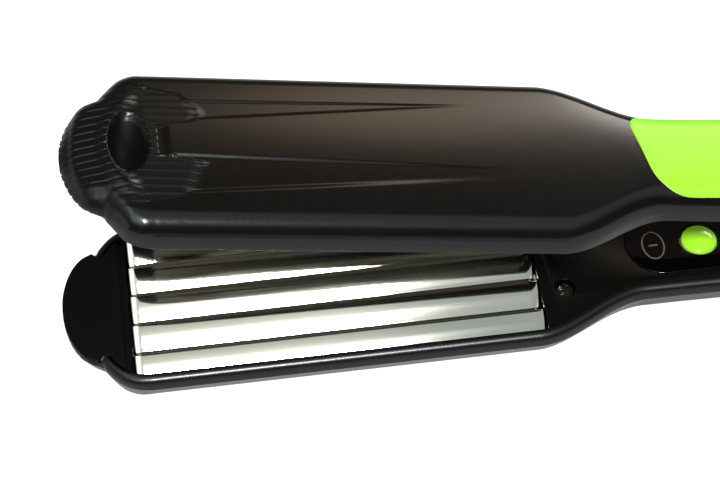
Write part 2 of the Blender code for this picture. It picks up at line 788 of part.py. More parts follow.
def stadium(start, length, half, steps=ROUND_SIDES // 2):
    """An outline with round ends."""
    outline = []
    for centre, turn in ((start + length - half, -math.pi / 2), (start + half, math.pi / 2)):
        for i in range(steps + 1):
            angle = turn + math.pi * i / steps
            outline.append((centre + half * math.cos(angle), half * math.sin(angle)))
    return outline


def make_controls(frame, casing, parent):
    """Panel, power button, switch and board of the lower arm."""
    middle = (BUTTON_X, 0.0)
    mesh = flat_mesh(stadium(PANEL_START, PANEL_LENGTH, PANEL_HALF_WIDTH), 0.0, PANEL_THICKNESS)
    panel = add("control_panel", mesh, "gloss_black", parent)
    hole = BUTTON_RADIUS + BUTTON_CLEARANCE
    through = ((*middle, -OVERRUN), (*middle, OVERRUN * 2))
    cut(panel, rod_mesh(*through, hole))
    start, length = PANEL_START - GAP, PANEL_LENGTH + 2 * GAP
    pocket = stadium(start, length, PANEL_HALF_WIDTH + GAP)
    cut(frame, flat_mesh(pocket, -OVERRUN, PANEL_THICKNESS + GAP))
    cut(frame, rod_mesh(*through, hole))

    holder = bpy.data.objects.new("power_button_slide", None)
    holder.location = (*middle, 0.0)
    holder.parent = parent
    PARTS.objects.link(holder)
    make_button(holder)

    plunger_top = BUTTON_STEM_END + PLUNGER_GAP
    board_top = plunger_top + PLUNGER_HEIGHT + SWITCH_HEIGHT + GAP
    body_top = plunger_top + PLUNGER_HEIGHT
    body = centred_box(SWITCH_SIDE, SWITCH_SIDE, body_top, body_top + SWITCH_HEIGHT, BUTTON_X)
    switch = add("tact_switch", body, "gloss_black", parent)
    plunger = ((*middle, plunger_top), (*middle, body_top + GAP))
    join(switch, rod_mesh(*plunger, PLUNGER_RADIUS, SMALL_SIDES))
    make_board(casing, board_top, parent)


def make_button(parent):
    """Domed push button with a stem down to the switch."""
    skirt = rod_mesh((0, 0, 0), (0, 0, FRAME_THICKNESS + GAP * 2), BUTTON_RADIUS)
    button = add("power_button", skirt, "lime_plastic", parent)
    join(button, ball_mesh((0, 0, GAP), (BUTTON_RADIUS, BUTTON_RADIUS, BUTTON_DOME + GAP)))
    flange_top = FRAME_THICKNESS + GAP
    flange = ((0, 0, flange_top), (0, 0, flange_top + BUTTON_FLANGE))
    join(button, rod_mesh(*flange, BUTTON_FLANGE_RADIUS))
    join(button, rod_mesh((0, 0, flange_top), (0, 0, BUTTON_STEM_END), BUTTON_STEM_RADIUS, SMALL_SIDES))


def make_board(casing, top, parent):
    """Circuit board on two posts of the casing, with a relay on it."""
    end = BOARD_START + BOARD_LENGTH
    low = (BOARD_START, -BOARD_HALF_WIDTH, top)
    add(
        "control_board",
        box_mesh(low, (end, BOARD_HALF_WIDTH, top + BOARD_THICKNESS)),
        "board_green",
        parent,
    )
    for x in (BOARD_START + POST_INSET, end - POST_INSET):
        for y in (BOARD_HALF_WIDTH - POST_INSET, POST_INSET - BOARD_HALF_WIDTH):
            foot = ((x, y, top + BOARD_THICKNESS + GAP), (x, y, LOWER_DEPTH - WALL + BOSS_ROOT))
            join(casing, rod_mesh(*foot, POST_RADIUS, SMALL_SIDES))
    length, width, height = RELAY_SIZE
    x = end - RELAY_SETBACK
    mesh = centred_box(length, width, top - GAP - height, top - GAP, x)
    add("relay", mesh, "ceramic", parent)


def make_tail_cover(casing, parent):
    """Cover over the hinge and the cord inlet, in the row frame above the lower rim."""
    outline = rim_outline(COVER_START_X, TAIL_X, TAIL_CORNER)
    cover = add("tail_cover", loft_half_mesh(outline, "cover", 0.0, GAP), "shell_black", parent)
    mirror_half(cover)
    inside = rim_outline(COVER_START_X - OVERRUN, TAIL_X - WALL, TAIL_CORNER)
    inside = [(x, y) for x, y in inside if x <= TAIL_X - WALL]
    boolean(cover, loft_helper(inside, "cover", WALL, -OVERRUN, parent), "DIFFERENCE")
    inlet = ((TAIL_X - WALL * 2, 0, 0), (TAIL_X + OVERRUN, 0, 0))
    cut(cover, rod_mesh(*inlet, SWIVEL_NECK + GAP))
    cut(casing, rod_mesh(*inlet, SWIVEL_NECK + GAP))
    span = HANDLE_HALF_WIDTH + OVERRUN
    axle = ((HINGE_X, -span), (HINGE_X, span))
    cut(cover, rod_mesh(*[(x, y, -HINGE_DEPTH) for x, y in axle], HINGE_CAP_RADIUS + GAP))
    cut(casing, rod_mesh(*[(x, y, HINGE_DEPTH) for x, y in axle], HINGE_CAP_RADIUS + GAP))


def make_hinge(lower, hinge):
    """Pin, bushes, end caps and the spring that holds the arms open."""
    pin = ((0, -PIN_HALF_LENGTH, 0), (0, PIN_HALF_LENGTH, 0))
    add("hinge_pin", rod_mesh(*pin, PIN_RADIUS), "steel", hinge["fixed"])
    for name, side in (("near", -1), ("far", 1)):
        start, end = side * UPPER_EAR_INNER, side * (UPPER_EAR_INNER + EAR_THICKNESS)
        bush = rod_mesh((0, start, 0), (0, end, 0), PIN_RADIUS + PIN_FIT + BUSH_WALL)
        bush = add(f"hinge_bush_{name}", bush, "brass", hinge["moving"])
        bore = ((0, start - side * OVERRUN, 0), (0, end + side * OVERRUN, 0))
        cut(bush, rod_mesh(*bore, PIN_RADIUS + PIN_FIT))
        start = side * (PIN_HALF_LENGTH + GAP)
        end = side * (HANDLE_HALF_WIDTH + HINGE_CAP_PROUD)
        cap = rod_mesh((0, start, 0), (0, end, 0), HINGE_CAP_RADIUS)
        add(f"hinge_cap_{name}", cap, "gloss_black", hinge["fixed"])
    add("hinge_spring", tube_mesh(spring_points(), SPRING_WIRE), "spring_steel", hinge["fixed"])


def spring_points():
    """Torsion spring round the pin, one leg under each arm's shelf."""
    sweep = SPRING_TURNS * 2 * math.pi + math.pi - OPEN_ANGLE
    count = round(sweep / (2 * math.pi) * CURL_POINTS)
    half = SPRING_PITCH * sweep / (2 * math.pi) / 2
    coil = []
    for i in range(count + 1):
        turn = sweep * i / count
        y = mix(-half, half, i / count)
        coil.append((SPRING_RADIUS * math.sin(turn), y, -SPRING_RADIUS * math.cos(turn)))
    first, last = coil[0], coil[-1]
    leg = (-SPRING_LEG * math.cos(OPEN_ANGLE), 0.0, SPRING_LEG * math.sin(OPEN_ANGLE))
    start = (first[0] - SPRING_LEG, first[1], first[2])
    return [start, *coil, tuple(a + b for a, b in zip(last, leg))]


def make_swivel(parent):
    """Turning cord inlet: a flange inside the tail wall, a neck and a tapered nose."""
    profile = bpy.data.meshes.new("profile")
    inside = -WALL - GAP - SWIVEL_FLANGE_LENGTH
    nose_end = GAP + SWIVEL_NOSE_LENGTH
    points = (
        (SWIVEL_BORE, nose_end),
        (SWIVEL_NOSE_TIP - SWIVEL_LIP, nose_end),
        (SWIVEL_NOSE_TIP, nose_end - SWIVEL_LIP),
        (SWIVEL_NOSE, GAP + SWIVEL_FLANGE_LENGTH),
        (SWIVEL_NOSE, GAP),
        (SWIVEL_NECK, GAP),
        (SWIVEL_NECK, -WALL - GAP),
        (SWIVEL_FLANGE, -WALL - GAP),
        (SWIVEL_FLANGE, inside),
        (SWIVEL_BORE, inside),
    )
    edges = [(i, (i + 1) % len(points)) for i in range(len(points))]
    profile.from_pydata([(r, 0.0, z) for r, z in points], edges, [])
    swivel = add("cord_swivel", profile, "rubber", parent)
    swivel.rotation_euler = (0.0, math.pi / 2, 0.0)
    screw = swivel.modifiers.new("Screw", "SCREW")
    screw.steps = screw.render_steps = ROUND_SIDES
    screw.use_merge_vertices = True
    screw.merge_threshold = 0.00001
    return swivel


def empty(name, parent, location, rotation=(0.0, 0.0, 0.0)):
    made = bpy.data.objects.new(name, None)
    made.parent = parent
    made.location = location
    made.rotation_euler = rotation
    PARTS.objects.link(made)
    return made


def main():
    base = empty("lower_rim", None, (-MIDDLE_X, 0.0, LOWER_DEPTH))
    lower = empty("lower_arm", base, (0.0, 0.0, 0.0), (math.pi, 0.0, 0.0))
    axis = (HINGE_X, 0.0, -HINGE_DEPTH)
    fixed = empty("hinge_axis", base, axis)
    moving = empty("arm_hinge", base, axis, (0.0, OPEN_ANGLE, 0.0))
    upper = empty("upper_arm", moving, (-HINGE_X, 0.0, -HINGE_DEPTH))
    inlet = empty("swivel_axis", base, (TAIL_X, 0.0, 0.0))

    casing = make_casing("lower", lower)
    frame = make_frame("lower", lower)
    make_controls(frame, casing, lower)
    make_casing("upper", upper)
    upper_frame = make_frame("upper", upper)
    relief = BUTTON_RADIUS + 2 * BUTTON_CLEARANCE
    cut(upper_frame, rod_mesh((BUTTON_X, 0, -OVERRUN), (BUTTON_X, 0, RELIEF_DEPTH), relief))
    rear = cut_ear_slot()
    cut(bpy.data.objects["upper_casing"], rear)
    for arm, parent in (("lower", lower), ("upper", upper)):
        make_grip(arm, parent)
        make_screws(arm, parent)
        make_plate(arm, parent)
        make_heater_stack(arm, parent)
        make_pads(arm, parent)
        make_leads(arm, parent)
    make_tail_cover(casing, base)
    make_hinge(lower, {"fixed": fixed, "moving": moving})
    make_swivel(inlet)


def cut_ear_slot():
    """Opening in the upper casing's rear wall that its hinge ears pass through."""
    low = (UPPER_END_X - WALL * 2, -EAR_SLOT_HALF_WIDTH, -OVERRUN)
    return box_mesh(low, (UPPER_END_X + OVERRUN, EAR_SLOT_HALF_WIDTH, EAR_SLOT_DEPTH))


for old in list(bpy.data.objects):
    bpy.data.objects.remove(old, do_unlink=True)
PARTS = new_collection("hair_crimper")
CUTTERS = new_collection("cutters")
main()
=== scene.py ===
"""The looks of the hair crimper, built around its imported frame.

Lengths are in millimetres in each arm's own frame: X from the middle of the heating plate
towards the hinge, Y across, and Z the depth outwards from the mating rim.
"""

import math

import bmesh
import bpy
import numpy as np
from mathutils import Matrix, Vector


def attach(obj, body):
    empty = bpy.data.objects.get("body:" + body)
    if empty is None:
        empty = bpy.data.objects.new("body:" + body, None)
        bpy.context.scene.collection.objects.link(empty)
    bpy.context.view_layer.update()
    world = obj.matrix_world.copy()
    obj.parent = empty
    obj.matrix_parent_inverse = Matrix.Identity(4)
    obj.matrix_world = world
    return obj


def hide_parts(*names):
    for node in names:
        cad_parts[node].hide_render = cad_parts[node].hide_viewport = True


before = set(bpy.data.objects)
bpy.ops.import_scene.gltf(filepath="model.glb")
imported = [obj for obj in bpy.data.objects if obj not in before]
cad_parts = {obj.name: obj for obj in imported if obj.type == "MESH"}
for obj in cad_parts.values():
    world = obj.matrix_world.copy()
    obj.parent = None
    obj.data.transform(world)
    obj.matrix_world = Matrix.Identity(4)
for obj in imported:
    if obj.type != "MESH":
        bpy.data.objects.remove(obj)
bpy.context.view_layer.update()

MM = 0.001
MIDDLE_X = 79.4
LOWER_DEPTH = 10.2
HINGE_X = 196.7
HINGE_RISE = 0.7
OPEN_ANGLE = math.radians(11.03)

PLATE_HALF_LENGTH = 47.5
PLATE_HALF_WIDTH = 20.4
PLATE_BACK = 3.0
WAVE_PITCH = 8.55
WAVE_HEIGHT = 1.82
WAVE_ROUNDING = 0.4
LONG_FLANK = 0.68
FLANK_BEND = 0.24
WAVE_SHIFT = 1.0
LOWER_WAVE_DEPTH = 0.8
UPPER_WAVE_DEPTH = -1.6
TIP_ROOT = -44.0
TIP_LENGTH = 19.5
TIP_FAN = 8.0
NECK_START = 46.0
NECK_LENGTH = 27.0
NECK_END = NECK_START + NECK_LENGTH
ARM_HALF = 23.4
HANDLE_HALF = 13.4
TAIL_X = 212.0
TAIL_CORNER = 4.0
UPPER_END_X = 186.0
FRAME_END_X = 184.0
COVER_START_X = 188.5
UPPER_CORNER = 2.0
CORD_NOTCH = 4.8
EAR_SLOT_HALF = 8.2
EAR_SLOT_DEPTH = 6.4
FRAME_THICKNESS = 2.2
FRAME_EDGE = 0.12
SEAM = 0.2
HEAD_END_X = 48.0
PANEL_START = 70.2
PANEL_LENGTH = 56.0
PANEL_HALF = 9.0
BUTTON_X = 88

ROW = Matrix.Translation((-MIDDLE_X * MM, 0.0, LOWER_DEPTH * MM))
LOWER = ROW @ Matrix.Rotation(math.pi, 4, "X") @ Matrix.Scale(MM, 4)
UPRIGHT = ROW @ Matrix.Scale(MM, 4)
UPPER = (
    ROW
    @ Matrix.Translation((HINGE_X * MM, 0.0, HINGE_RISE * MM))
    @ Matrix.Rotation(OPEN_ANGLE, 4, "Y")
    @ Matrix.Translation((-HINGE_X * MM, 0.0, HINGE_RISE * MM))
    @ Matrix.Scale(MM, 4)
)
ARMS = {"lower": LOWER, "upper": UPPER, "cover": UPRIGHT}
BODY = {"lower": "lower_arm", "upper": "upper_arm", "cover": "lower_arm"}

TIP_OUTLINE = (
    (1.000, 0.000),
    (0.985, 0.197),
    (0.926, 0.397),
    (0.836, 0.551),
    (0.735, 0.645),
    (0.633, 0.690),
    (0.566, 0.722),
    (0.518, 0.786),
    (0.431, 0.866),
    (0.318, 0.932),
    (0.174, 0.983),
    (0.000, 1.000),
)
TIP_PULL = 0.5
CORNER_PULL = 0.5
TAB_NARROWING = {"lower": 0.5, "upper": 1.0, "cover": 0.0}
FLUSH_X = -56.0


# ---- small helpers


def smooth(share):
    share = np.clip(share, 0.0, 1.0)
    return share * share * (3 - 2 * share)


def mix(a, b, share):
    return a + (b - a) * share


def bump(value, centre, reach):
    """1 at the centre, and falls smoothly to 0 at reach from it."""
    return 1 - smooth(np.abs(value - centre) / reach)


def weld(mesh, dist=1e-6, angle=None):
    shape = bmesh.new()
    shape.from_mesh(mesh)
    bmesh.ops.remove_doubles(shape, verts=shape.verts, dist=dist)
    bmesh.ops.dissolve_degenerate(shape, edges=shape.edges, dist=dist / 10)
    bmesh.ops.recalc_face_normals(shape, faces=shape.faces)
    shape.to_mesh(mesh)
    shape.free()
    mesh.shade_smooth()
    if angle is not None:
        mesh.set_sharp_from_angle(angle=math.radians(angle))
    return mesh


def grid_mesh(name, points, loop_u=False, loop_v=False):
    """A mesh of quads over an array of points [u, v, 3]."""
    nu, nv = points.shape[:2]
    index = np.arange(nu * nv).reshape(nu, nv)
    rows = np.vstack([index, index[:1]]) if loop_u else index
    rows = np.hstack([rows, rows[:, :1]]) if loop_v else rows
    quads = np.stack([rows[:-1, :-1], rows[1:, :-1], rows[1:, 1:], rows[:-1, 1:]], -1)
    mesh = bpy.data.meshes.new(name)
    mesh.from_pydata(points.reshape(-1, 3).tolist(), [], quads.reshape(-1, 4).tolist())
    return mesh


def join_meshes(meshes):
    """One mesh from several, which are removed."""
    shape = bmesh.new()
    for mesh in meshes:
        shape.from_mesh(mesh)
    joined = bpy.data.meshes.new("joined")
    shape.to_mesh(joined)
    shape.free()
    for mesh in meshes:
        bpy.data.meshes.remove(mesh)
    return joined


def place(name, mesh, arm, material, replaces=(), body=None):
    """Puts a mesh, drawn in an arm's frame, on its body."""
    mesh.transform(ARMS[arm])
    mesh.materials.clear()
    mesh.materials.append(material)
    obj = bpy.data.objects.new(name, mesh)
    bpy.context.scene.collection.objects.link(obj)
    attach(obj, body or BODY[arm])
    if replaces:
        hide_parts(*replaces)
    return obj


def evaluated_mesh(data):
    """The mesh of a curve, and the curve removed."""
    holder = bpy.data.objects.new("holder", data)
    bpy.context.scene.collection.objects.link(holder)
    graph = bpy.context.evaluated_depsgraph_get()
    mesh = bpy.data.meshes.new_from_object(holder.evaluated_get(graph))
    bpy.data.objects.remove(holder)
    bpy.data.curves.remove(data)
    return mesh


def sheet_mesh(outlines, low, high, edge=0.1, segments=2):
    """Flat outlines, the first one round the others' holes, extruded with rounded edges."""
    curve = bpy.data.curves.new("outline", "CURVE")
    curve.dimensions = "2D"
    curve.fill_mode = "BOTH"
    curve.extrude = (high - low) / 2 - edge
    curve.bevel_depth = edge
    curve.bevel_resolution = segments
    curve.offset = -edge
    for outline in outlines:
        spline = curve.splines.new("POLY")
        spline.points.add(len(outline) - 1)
        for point, (x, y) in zip(spline.points, outline):
            point.co = (x, y, 0.0, 1.0)
        spline.use_cyclic_u = True
    mesh = evaluated_mesh(curve)
    mesh.transform(Matrix.Translation((0, 0, (low + high) / 2)))
    return weld(mesh, 1e-3, 35)


def turned_mesh(profile, sides=64, axis="Z", at=(0, 0, 0)):
    """A profile of (radius, height) turned about an axis."""
    turns = np.linspace(0, 2 * math.pi, sides, endpoint=False)
    r, h = np.array(profile, float).T
    points = np.stack(
        [np.outer(np.cos(turns), r), np.outer(np.sin(turns), r), np.tile(h, (sides, 1))], -1
    )
    mesh = weld(grid_mesh("turned", points, loop_u=True), 1e-4, 40)
    if axis == "X":
        mesh.transform(Matrix.Rotation(math.pi / 2, 4, "Y"))
    if axis == "Y":
        mesh.transform(Matrix.Rotation(-math.pi / 2, 4, "X"))
    mesh.transform(Matrix.Translation(at))
    return mesh


# ---- outlines and sections of the arms


def spline_through(points, per=8):
    """A smooth line through points, Catmull-Rom."""
    p = np.array(points, float)
    p = np.vstack([2 * p[0] - p[1], p, 2 * p[-1] - p[-2]])
    out = []
    for a, b, c, d in zip(p, p[1:], p[2:], p[3:]):
        for t in np.linspace(0, 1, per, endpoint=False):
            bend = (2 * a - 5 * b + 4 * c - d) * t**2 + (3 * b - a - 3 * c + d) * t**3
            out.append(0.5 * (2 * b + (c - a) * t + bend))
    out.append(p[-2])
    return np.array(out)


def resample(line, step):
    line = np.array(line, float)
    along = np.concatenate([[0], np.cumsum(np.linalg.norm(np.diff(line, axis=0), axis=1))])
    count = max(2, int(round(along[-1] / step)) + 1)
    at = np.linspace(0, along[-1], count)
    return np.stack([np.interp(at, along, line[:, k]) for k in range(line.shape[1])], -1)


def swell(x):
    share = np.clip((x - NECK_END) / (HINGE_X - NECK_END), 0, 1)
    return np.sin(math.pi * share) ** 2


def half_width(x):
    return mix(ARM_HALF, HANDLE_HALF, smooth((x - NECK_START) / NECK_LENGTH)) + 1.1 * swell(x)


def pulled(line, arm):
    """The outline with its tab a little narrower, and the upper arm's tip a little further in."""
    x, y = line.T
    y = y - TAB_NARROWING[arm] * smooth((-50 - x) / 4) * smooth(y / 9)
    if arm == "upper":
        corner = smooth((-30 - x) / 12) * (1 - smooth((-52 - x) / 8)) * smooth((y - 10) / 10)
        x = x + TIP_PULL * smooth((-34 - x) / 14) + CORNER_PULL * corner
    return np.stack([x, y], -1)


def tip_line(arm, step=0.28):
    """The tip's outline from its middle to where the side is straight, at y >= 0."""
    half = [(TIP_ROOT - a * TIP_LENGTH, b * ARM_HALF) for a, b in TIP_OUTLINE]
    whole = [(x, -y) for x, y in reversed(half[1:4])] + half + [(TIP_ROOT + 4, ARM_HALF)]
    line = spline_through(whole, 10)[3 * 10 :]
    line = line[line[:, 0] < TIP_ROOT - 0.05]
    line[:, 1] = np.minimum(line[:, 1], ARM_HALF)
    line[0] = (TIP_ROOT - TIP_LENGTH, 0.0)
    return resample(np.vstack([line, [(TIP_ROOT, ARM_HALF)]]), step)


def side_line(start, end):
    """Outline along the side, at y >= 0."""
    xs = np.concatenate([
        np.arange(TIP_ROOT, -28, 0.5), np.arange(-28, NECK_START - 4, 2.0),
        np.arange(NECK_START - 4, NECK_END + 4, 0.75), np.arange(NECK_END + 4, end, 2.0),
    ])
    xs = np.concatenate([[start], xs[(xs > start + 0.2) & (xs < end - 0.2)], [end]])
    return np.stack([xs, half_width(xs)], -1)


def arm_line(arm):
    """Half of an arm's outline, from its tip round to the middle of its tail."""
    end = UPPER_END_X if arm == "upper" else TAIL_X
    corner = UPPER_CORNER if arm == "upper" else TAIL_CORNER
    if arm == "cover":
        line = side_line(COVER_START_X, end - corner)
    else:
        line = pulled(np.vstack([tip_line(arm), side_line(TIP_ROOT, end - corner)[1:]]), arm)
    last = line[-1, 1]
    turns = np.linspace(0, math.pi / 2, 14)[1:]
    arc = np.stack([end - corner * (1 - np.sin(turns)), last - corner * (1 - np.cos(turns))], -1)
    # two close points make the edge of the slot for the ears, or of the cord's notch, crisp
    edge = EAR_SLOT_HALF if arm == "upper" else CORD_NOTCH
    across = np.concatenate([
        np.arange(last - corner, edge + 0.3, -0.6)[1:], [edge + 0.06],
        np.linspace(edge - 0.06, 0, 14),
    ])
    back = np.stack([np.full_like(across, end), across], -1)
    return np.vstack([line, arc, back])


# The section of each casing. depth: of its top; wall: height of the side wall; reach, handle: width
# of the shoulder at the head and on the handle; round: radius at the top; swell: extra depth in the
# middle of the handle; crown: rise of the top; blend: softness between wall and shoulder; fillet:
# width and height of the rounded rim; rim: width of the rim; tab: rise of the tip's underside.
STYLE = {
    "lower": dict(
        depth=10.2, wall=3.4, reach=5.1, handle=4.5, round=2.4, swell=0.0, crown=0.0,
        blend=0.1, fillet=(2.1, 1.7), rim=2.3, tab=0.0,
    ),
    "upper": dict(
        depth=8.3, wall=2.6, reach=5.1, handle=4.8, round=5.5, swell=2.0, crown=0.9,
        blend=1.5, fillet=(0.3, 0.3), rim=1.5, tab=1.4,
    ),
    "cover": dict(
        depth=9.4, wall=3.0, reach=4.5, handle=4.5, round=2.8, swell=0.0, crown=0.0,
        blend=0.1, fillet=(0.22, 0.22), rim=1.5, tab=0.0,
    ),
}
HEAD_TOP_HALF = 18.3
CROWN_RUN = 16
LEAST_RISE = 0.02
TIP_DEPTH = 2.9


def crown_drop(x, y, arm):
    """How far the top's crown has fallen at y, and its slope there."""
    style = STYLE[arm]
    half = half_width(np.maximum(x, TIP_ROOT)) - style["reach"]
    along = smooth((x - TIP_ROOT + CROWN_RUN) / CROWN_RUN)
    height = style["crown"] * (half / HEAD_TOP_HALF) ** 1.3 * along
    share = np.clip(np.abs(y) / half, 0, 1.0)
    return height * share**2, 2 * height * share / half


def shoulder(full, wall, reach, bend, end_slope):
    """Angle of the slope over the wall, the last angle of the arc on it, and the slope's run.

    The angle is searched for so that slope and arc together are as wide as reach.
    """
    last = np.arctan(end_slope)
    angle = np.full_like(full, 0.9)
    for _ in range(40):
        arc_run = bend * (np.sin(angle) - np.sin(last))
        arc_rise = bend * (np.cos(last) - np.cos(angle))
        run = np.maximum(full - wall - arc_rise, LEAST_RISE) / np.tan(angle) + arc_run
        angle = np.clip(angle * np.clip(run / reach, 0.2, 5) ** 0.4, last + 0.08, 1.45)
    slope_rise = full - wall - bend * (np.cos(last) - np.cos(angle))
    return angle, last, np.maximum(slope_rise, LEAST_RISE) / np.tan(angle)


def depth_at(x, arm):
    """Depth of a casing's top along the arm, less towards the tip."""
    style = STYLE[arm]
    full = style["depth"] + style["swell"] * swell(x)
    tip = np.clip((TIP_ROOT - x) / TIP_LENGTH, 0, None)
    return full - (full - TIP_DEPTH) * tip**2


# The edge of the ribbed zone towards the neck, from the near to the far side: y, x
RIB_EDGE = (
    (-17.4, -48.0), (-16.4, -44.6), (-14.6, -37.2), (-13.9, -36.2), (-9.0, -34.2), (-6.4, -33.0),
    (-5.3, -33.2), (-4.6, -36.5), (-3.9, -41.7), (5.1, -41.7), (5.8, -36.5), (6.3, -34.4),
    (8.5, -33.0), (10.2, -33.4), (13.9, -36.2), (14.9, -37.6), (16.6, -44.0), (17.6, -48.5),
)
RIB_PITCH = 2.05
RIB_SINK = 0.08
GROOVE_START = 0.68
GROOVE_DEPTH = 0.16
SCOOP_AT = (-48.5, 0.3)
SCOOP_HALF = (4.6, 8.6)
SCOOP_DEPTH = 3.6
CREST_HEIGHT = 0.75
FAR_DEPTH = 0.34
NEAR_DEPTH = 0.50
TRENCH_DEPTH = 0.3
CHANNEL_FADE = 4.0


def ribbed(x, y, blend=1.1):
    """1 inside the ribbed zone of the tip, 0 outside."""
    ys, xs = np.array(RIB_EDGE).T
    edge = np.interp(y, ys, xs, left=-60, right=-60)
    return smooth((edge - x) / blend + 0.5)


def groove(y):
    """1 in the bottom of each groove between ribs."""
    phase = np.abs(((y / RIB_PITCH) % 1.0) - 0.5) * 2
    return smooth((phase - GROOVE_START) / (1 - GROOVE_START))


def scoop_span(x, y):
    """1 on the edge of the finger scoop, less inside."""
    return np.hypot((x - SCOOP_AT[0]) / SCOOP_HALF[0], (y - SCOOP_AT[1]) / SCOOP_HALF[1])


def crest(x, y):
    """1 on the ridge round the outer side of the scoop, 0 off it."""
    ring = bump(np.hypot((x + 46.0) / 7.6, y / 12.6), 1.0, 0.32)
    return ring * smooth((-45.5 - x) / 4.0)


def far_channel(x, y):
    """1 in the wedge-shaped channel on the far side of the top, fading towards the neck."""
    far_edge = smooth((12.9 + 0.012 * (x + 34) - y) / 0.7)
    near_edge = smooth((y - (6.6 + 0.1 * (x + 33))) / 1.2)
    return far_edge * near_edge * (smooth((x + 41) / 2) * (1 - smooth((x + 38) / 90)))


def near_channel(x, y):
    """1 in the wedge-shaped channel on the near side of the top, fading towards the neck."""
    far_edge = smooth((-3.0 - 0.033 * (x + 38.6) - y) / 0.8)
    near_edge = smooth((y + 14.2 - 0.071 * (x + 36)) / 1.6)
    return far_edge * near_edge * (smooth((x + 39.6) / 1.2) * (1 - smooth((x + 39) / 80)))


def trench(x, y):
    """1 in the short trench at the end of the middle ribs, 0 outside."""
    along = smooth((x + 42.0) / 0.4) * (1 - smooth((x + 40.5) / 0.4))
    return along * smooth((y + 3.6) / 0.6) * smooth((4.6 - y) / 0.6)


def relief(x, y, arm):
    """How far a casing's outer face sinks below its plain form."""
    scoop = SCOOP_DEPTH * np.clip(1 - scoop_span(x, y) ** 2, 0, 1) ** 1.1
    ribs = RIB_SINK + groove(y) * GROOVE_DEPTH * (1 - smooth(scoop / 0.8))
    sunk = ribbed(x, y) * ribs + scoop
    if arm == "upper":
        channels = far_channel(x, y) * FAR_DEPTH + near_channel(x, y) * NEAR_DEPTH
        channels *= 1 - ribbed(x, y, CHANNEL_FADE)
        sunk = sunk - crest(x, y) * CREST_HEIGHT + channels + trench(x, y) * TRENCH_DEPTH
    return sunk


TIP_WALL = 1.8
TIP_REACH = 3.0
TAIL_TURN = 6.0
TOOTH_DEPTH = 0.3
RIM_EDGE = 0.13
RIM_SEAT = 2.6
EDGE_ROWS, FILLET_ROWS, WALL_ROWS, BLEND_ROWS = 4, 10, 4, 6
SLOPE_ROWS, ARC_ROWS, TOP_ROWS = 7, 12, 99
CARVED_FROM = 2 + EDGE_ROWS + FILLET_ROWS + WALL_ROWS + 2


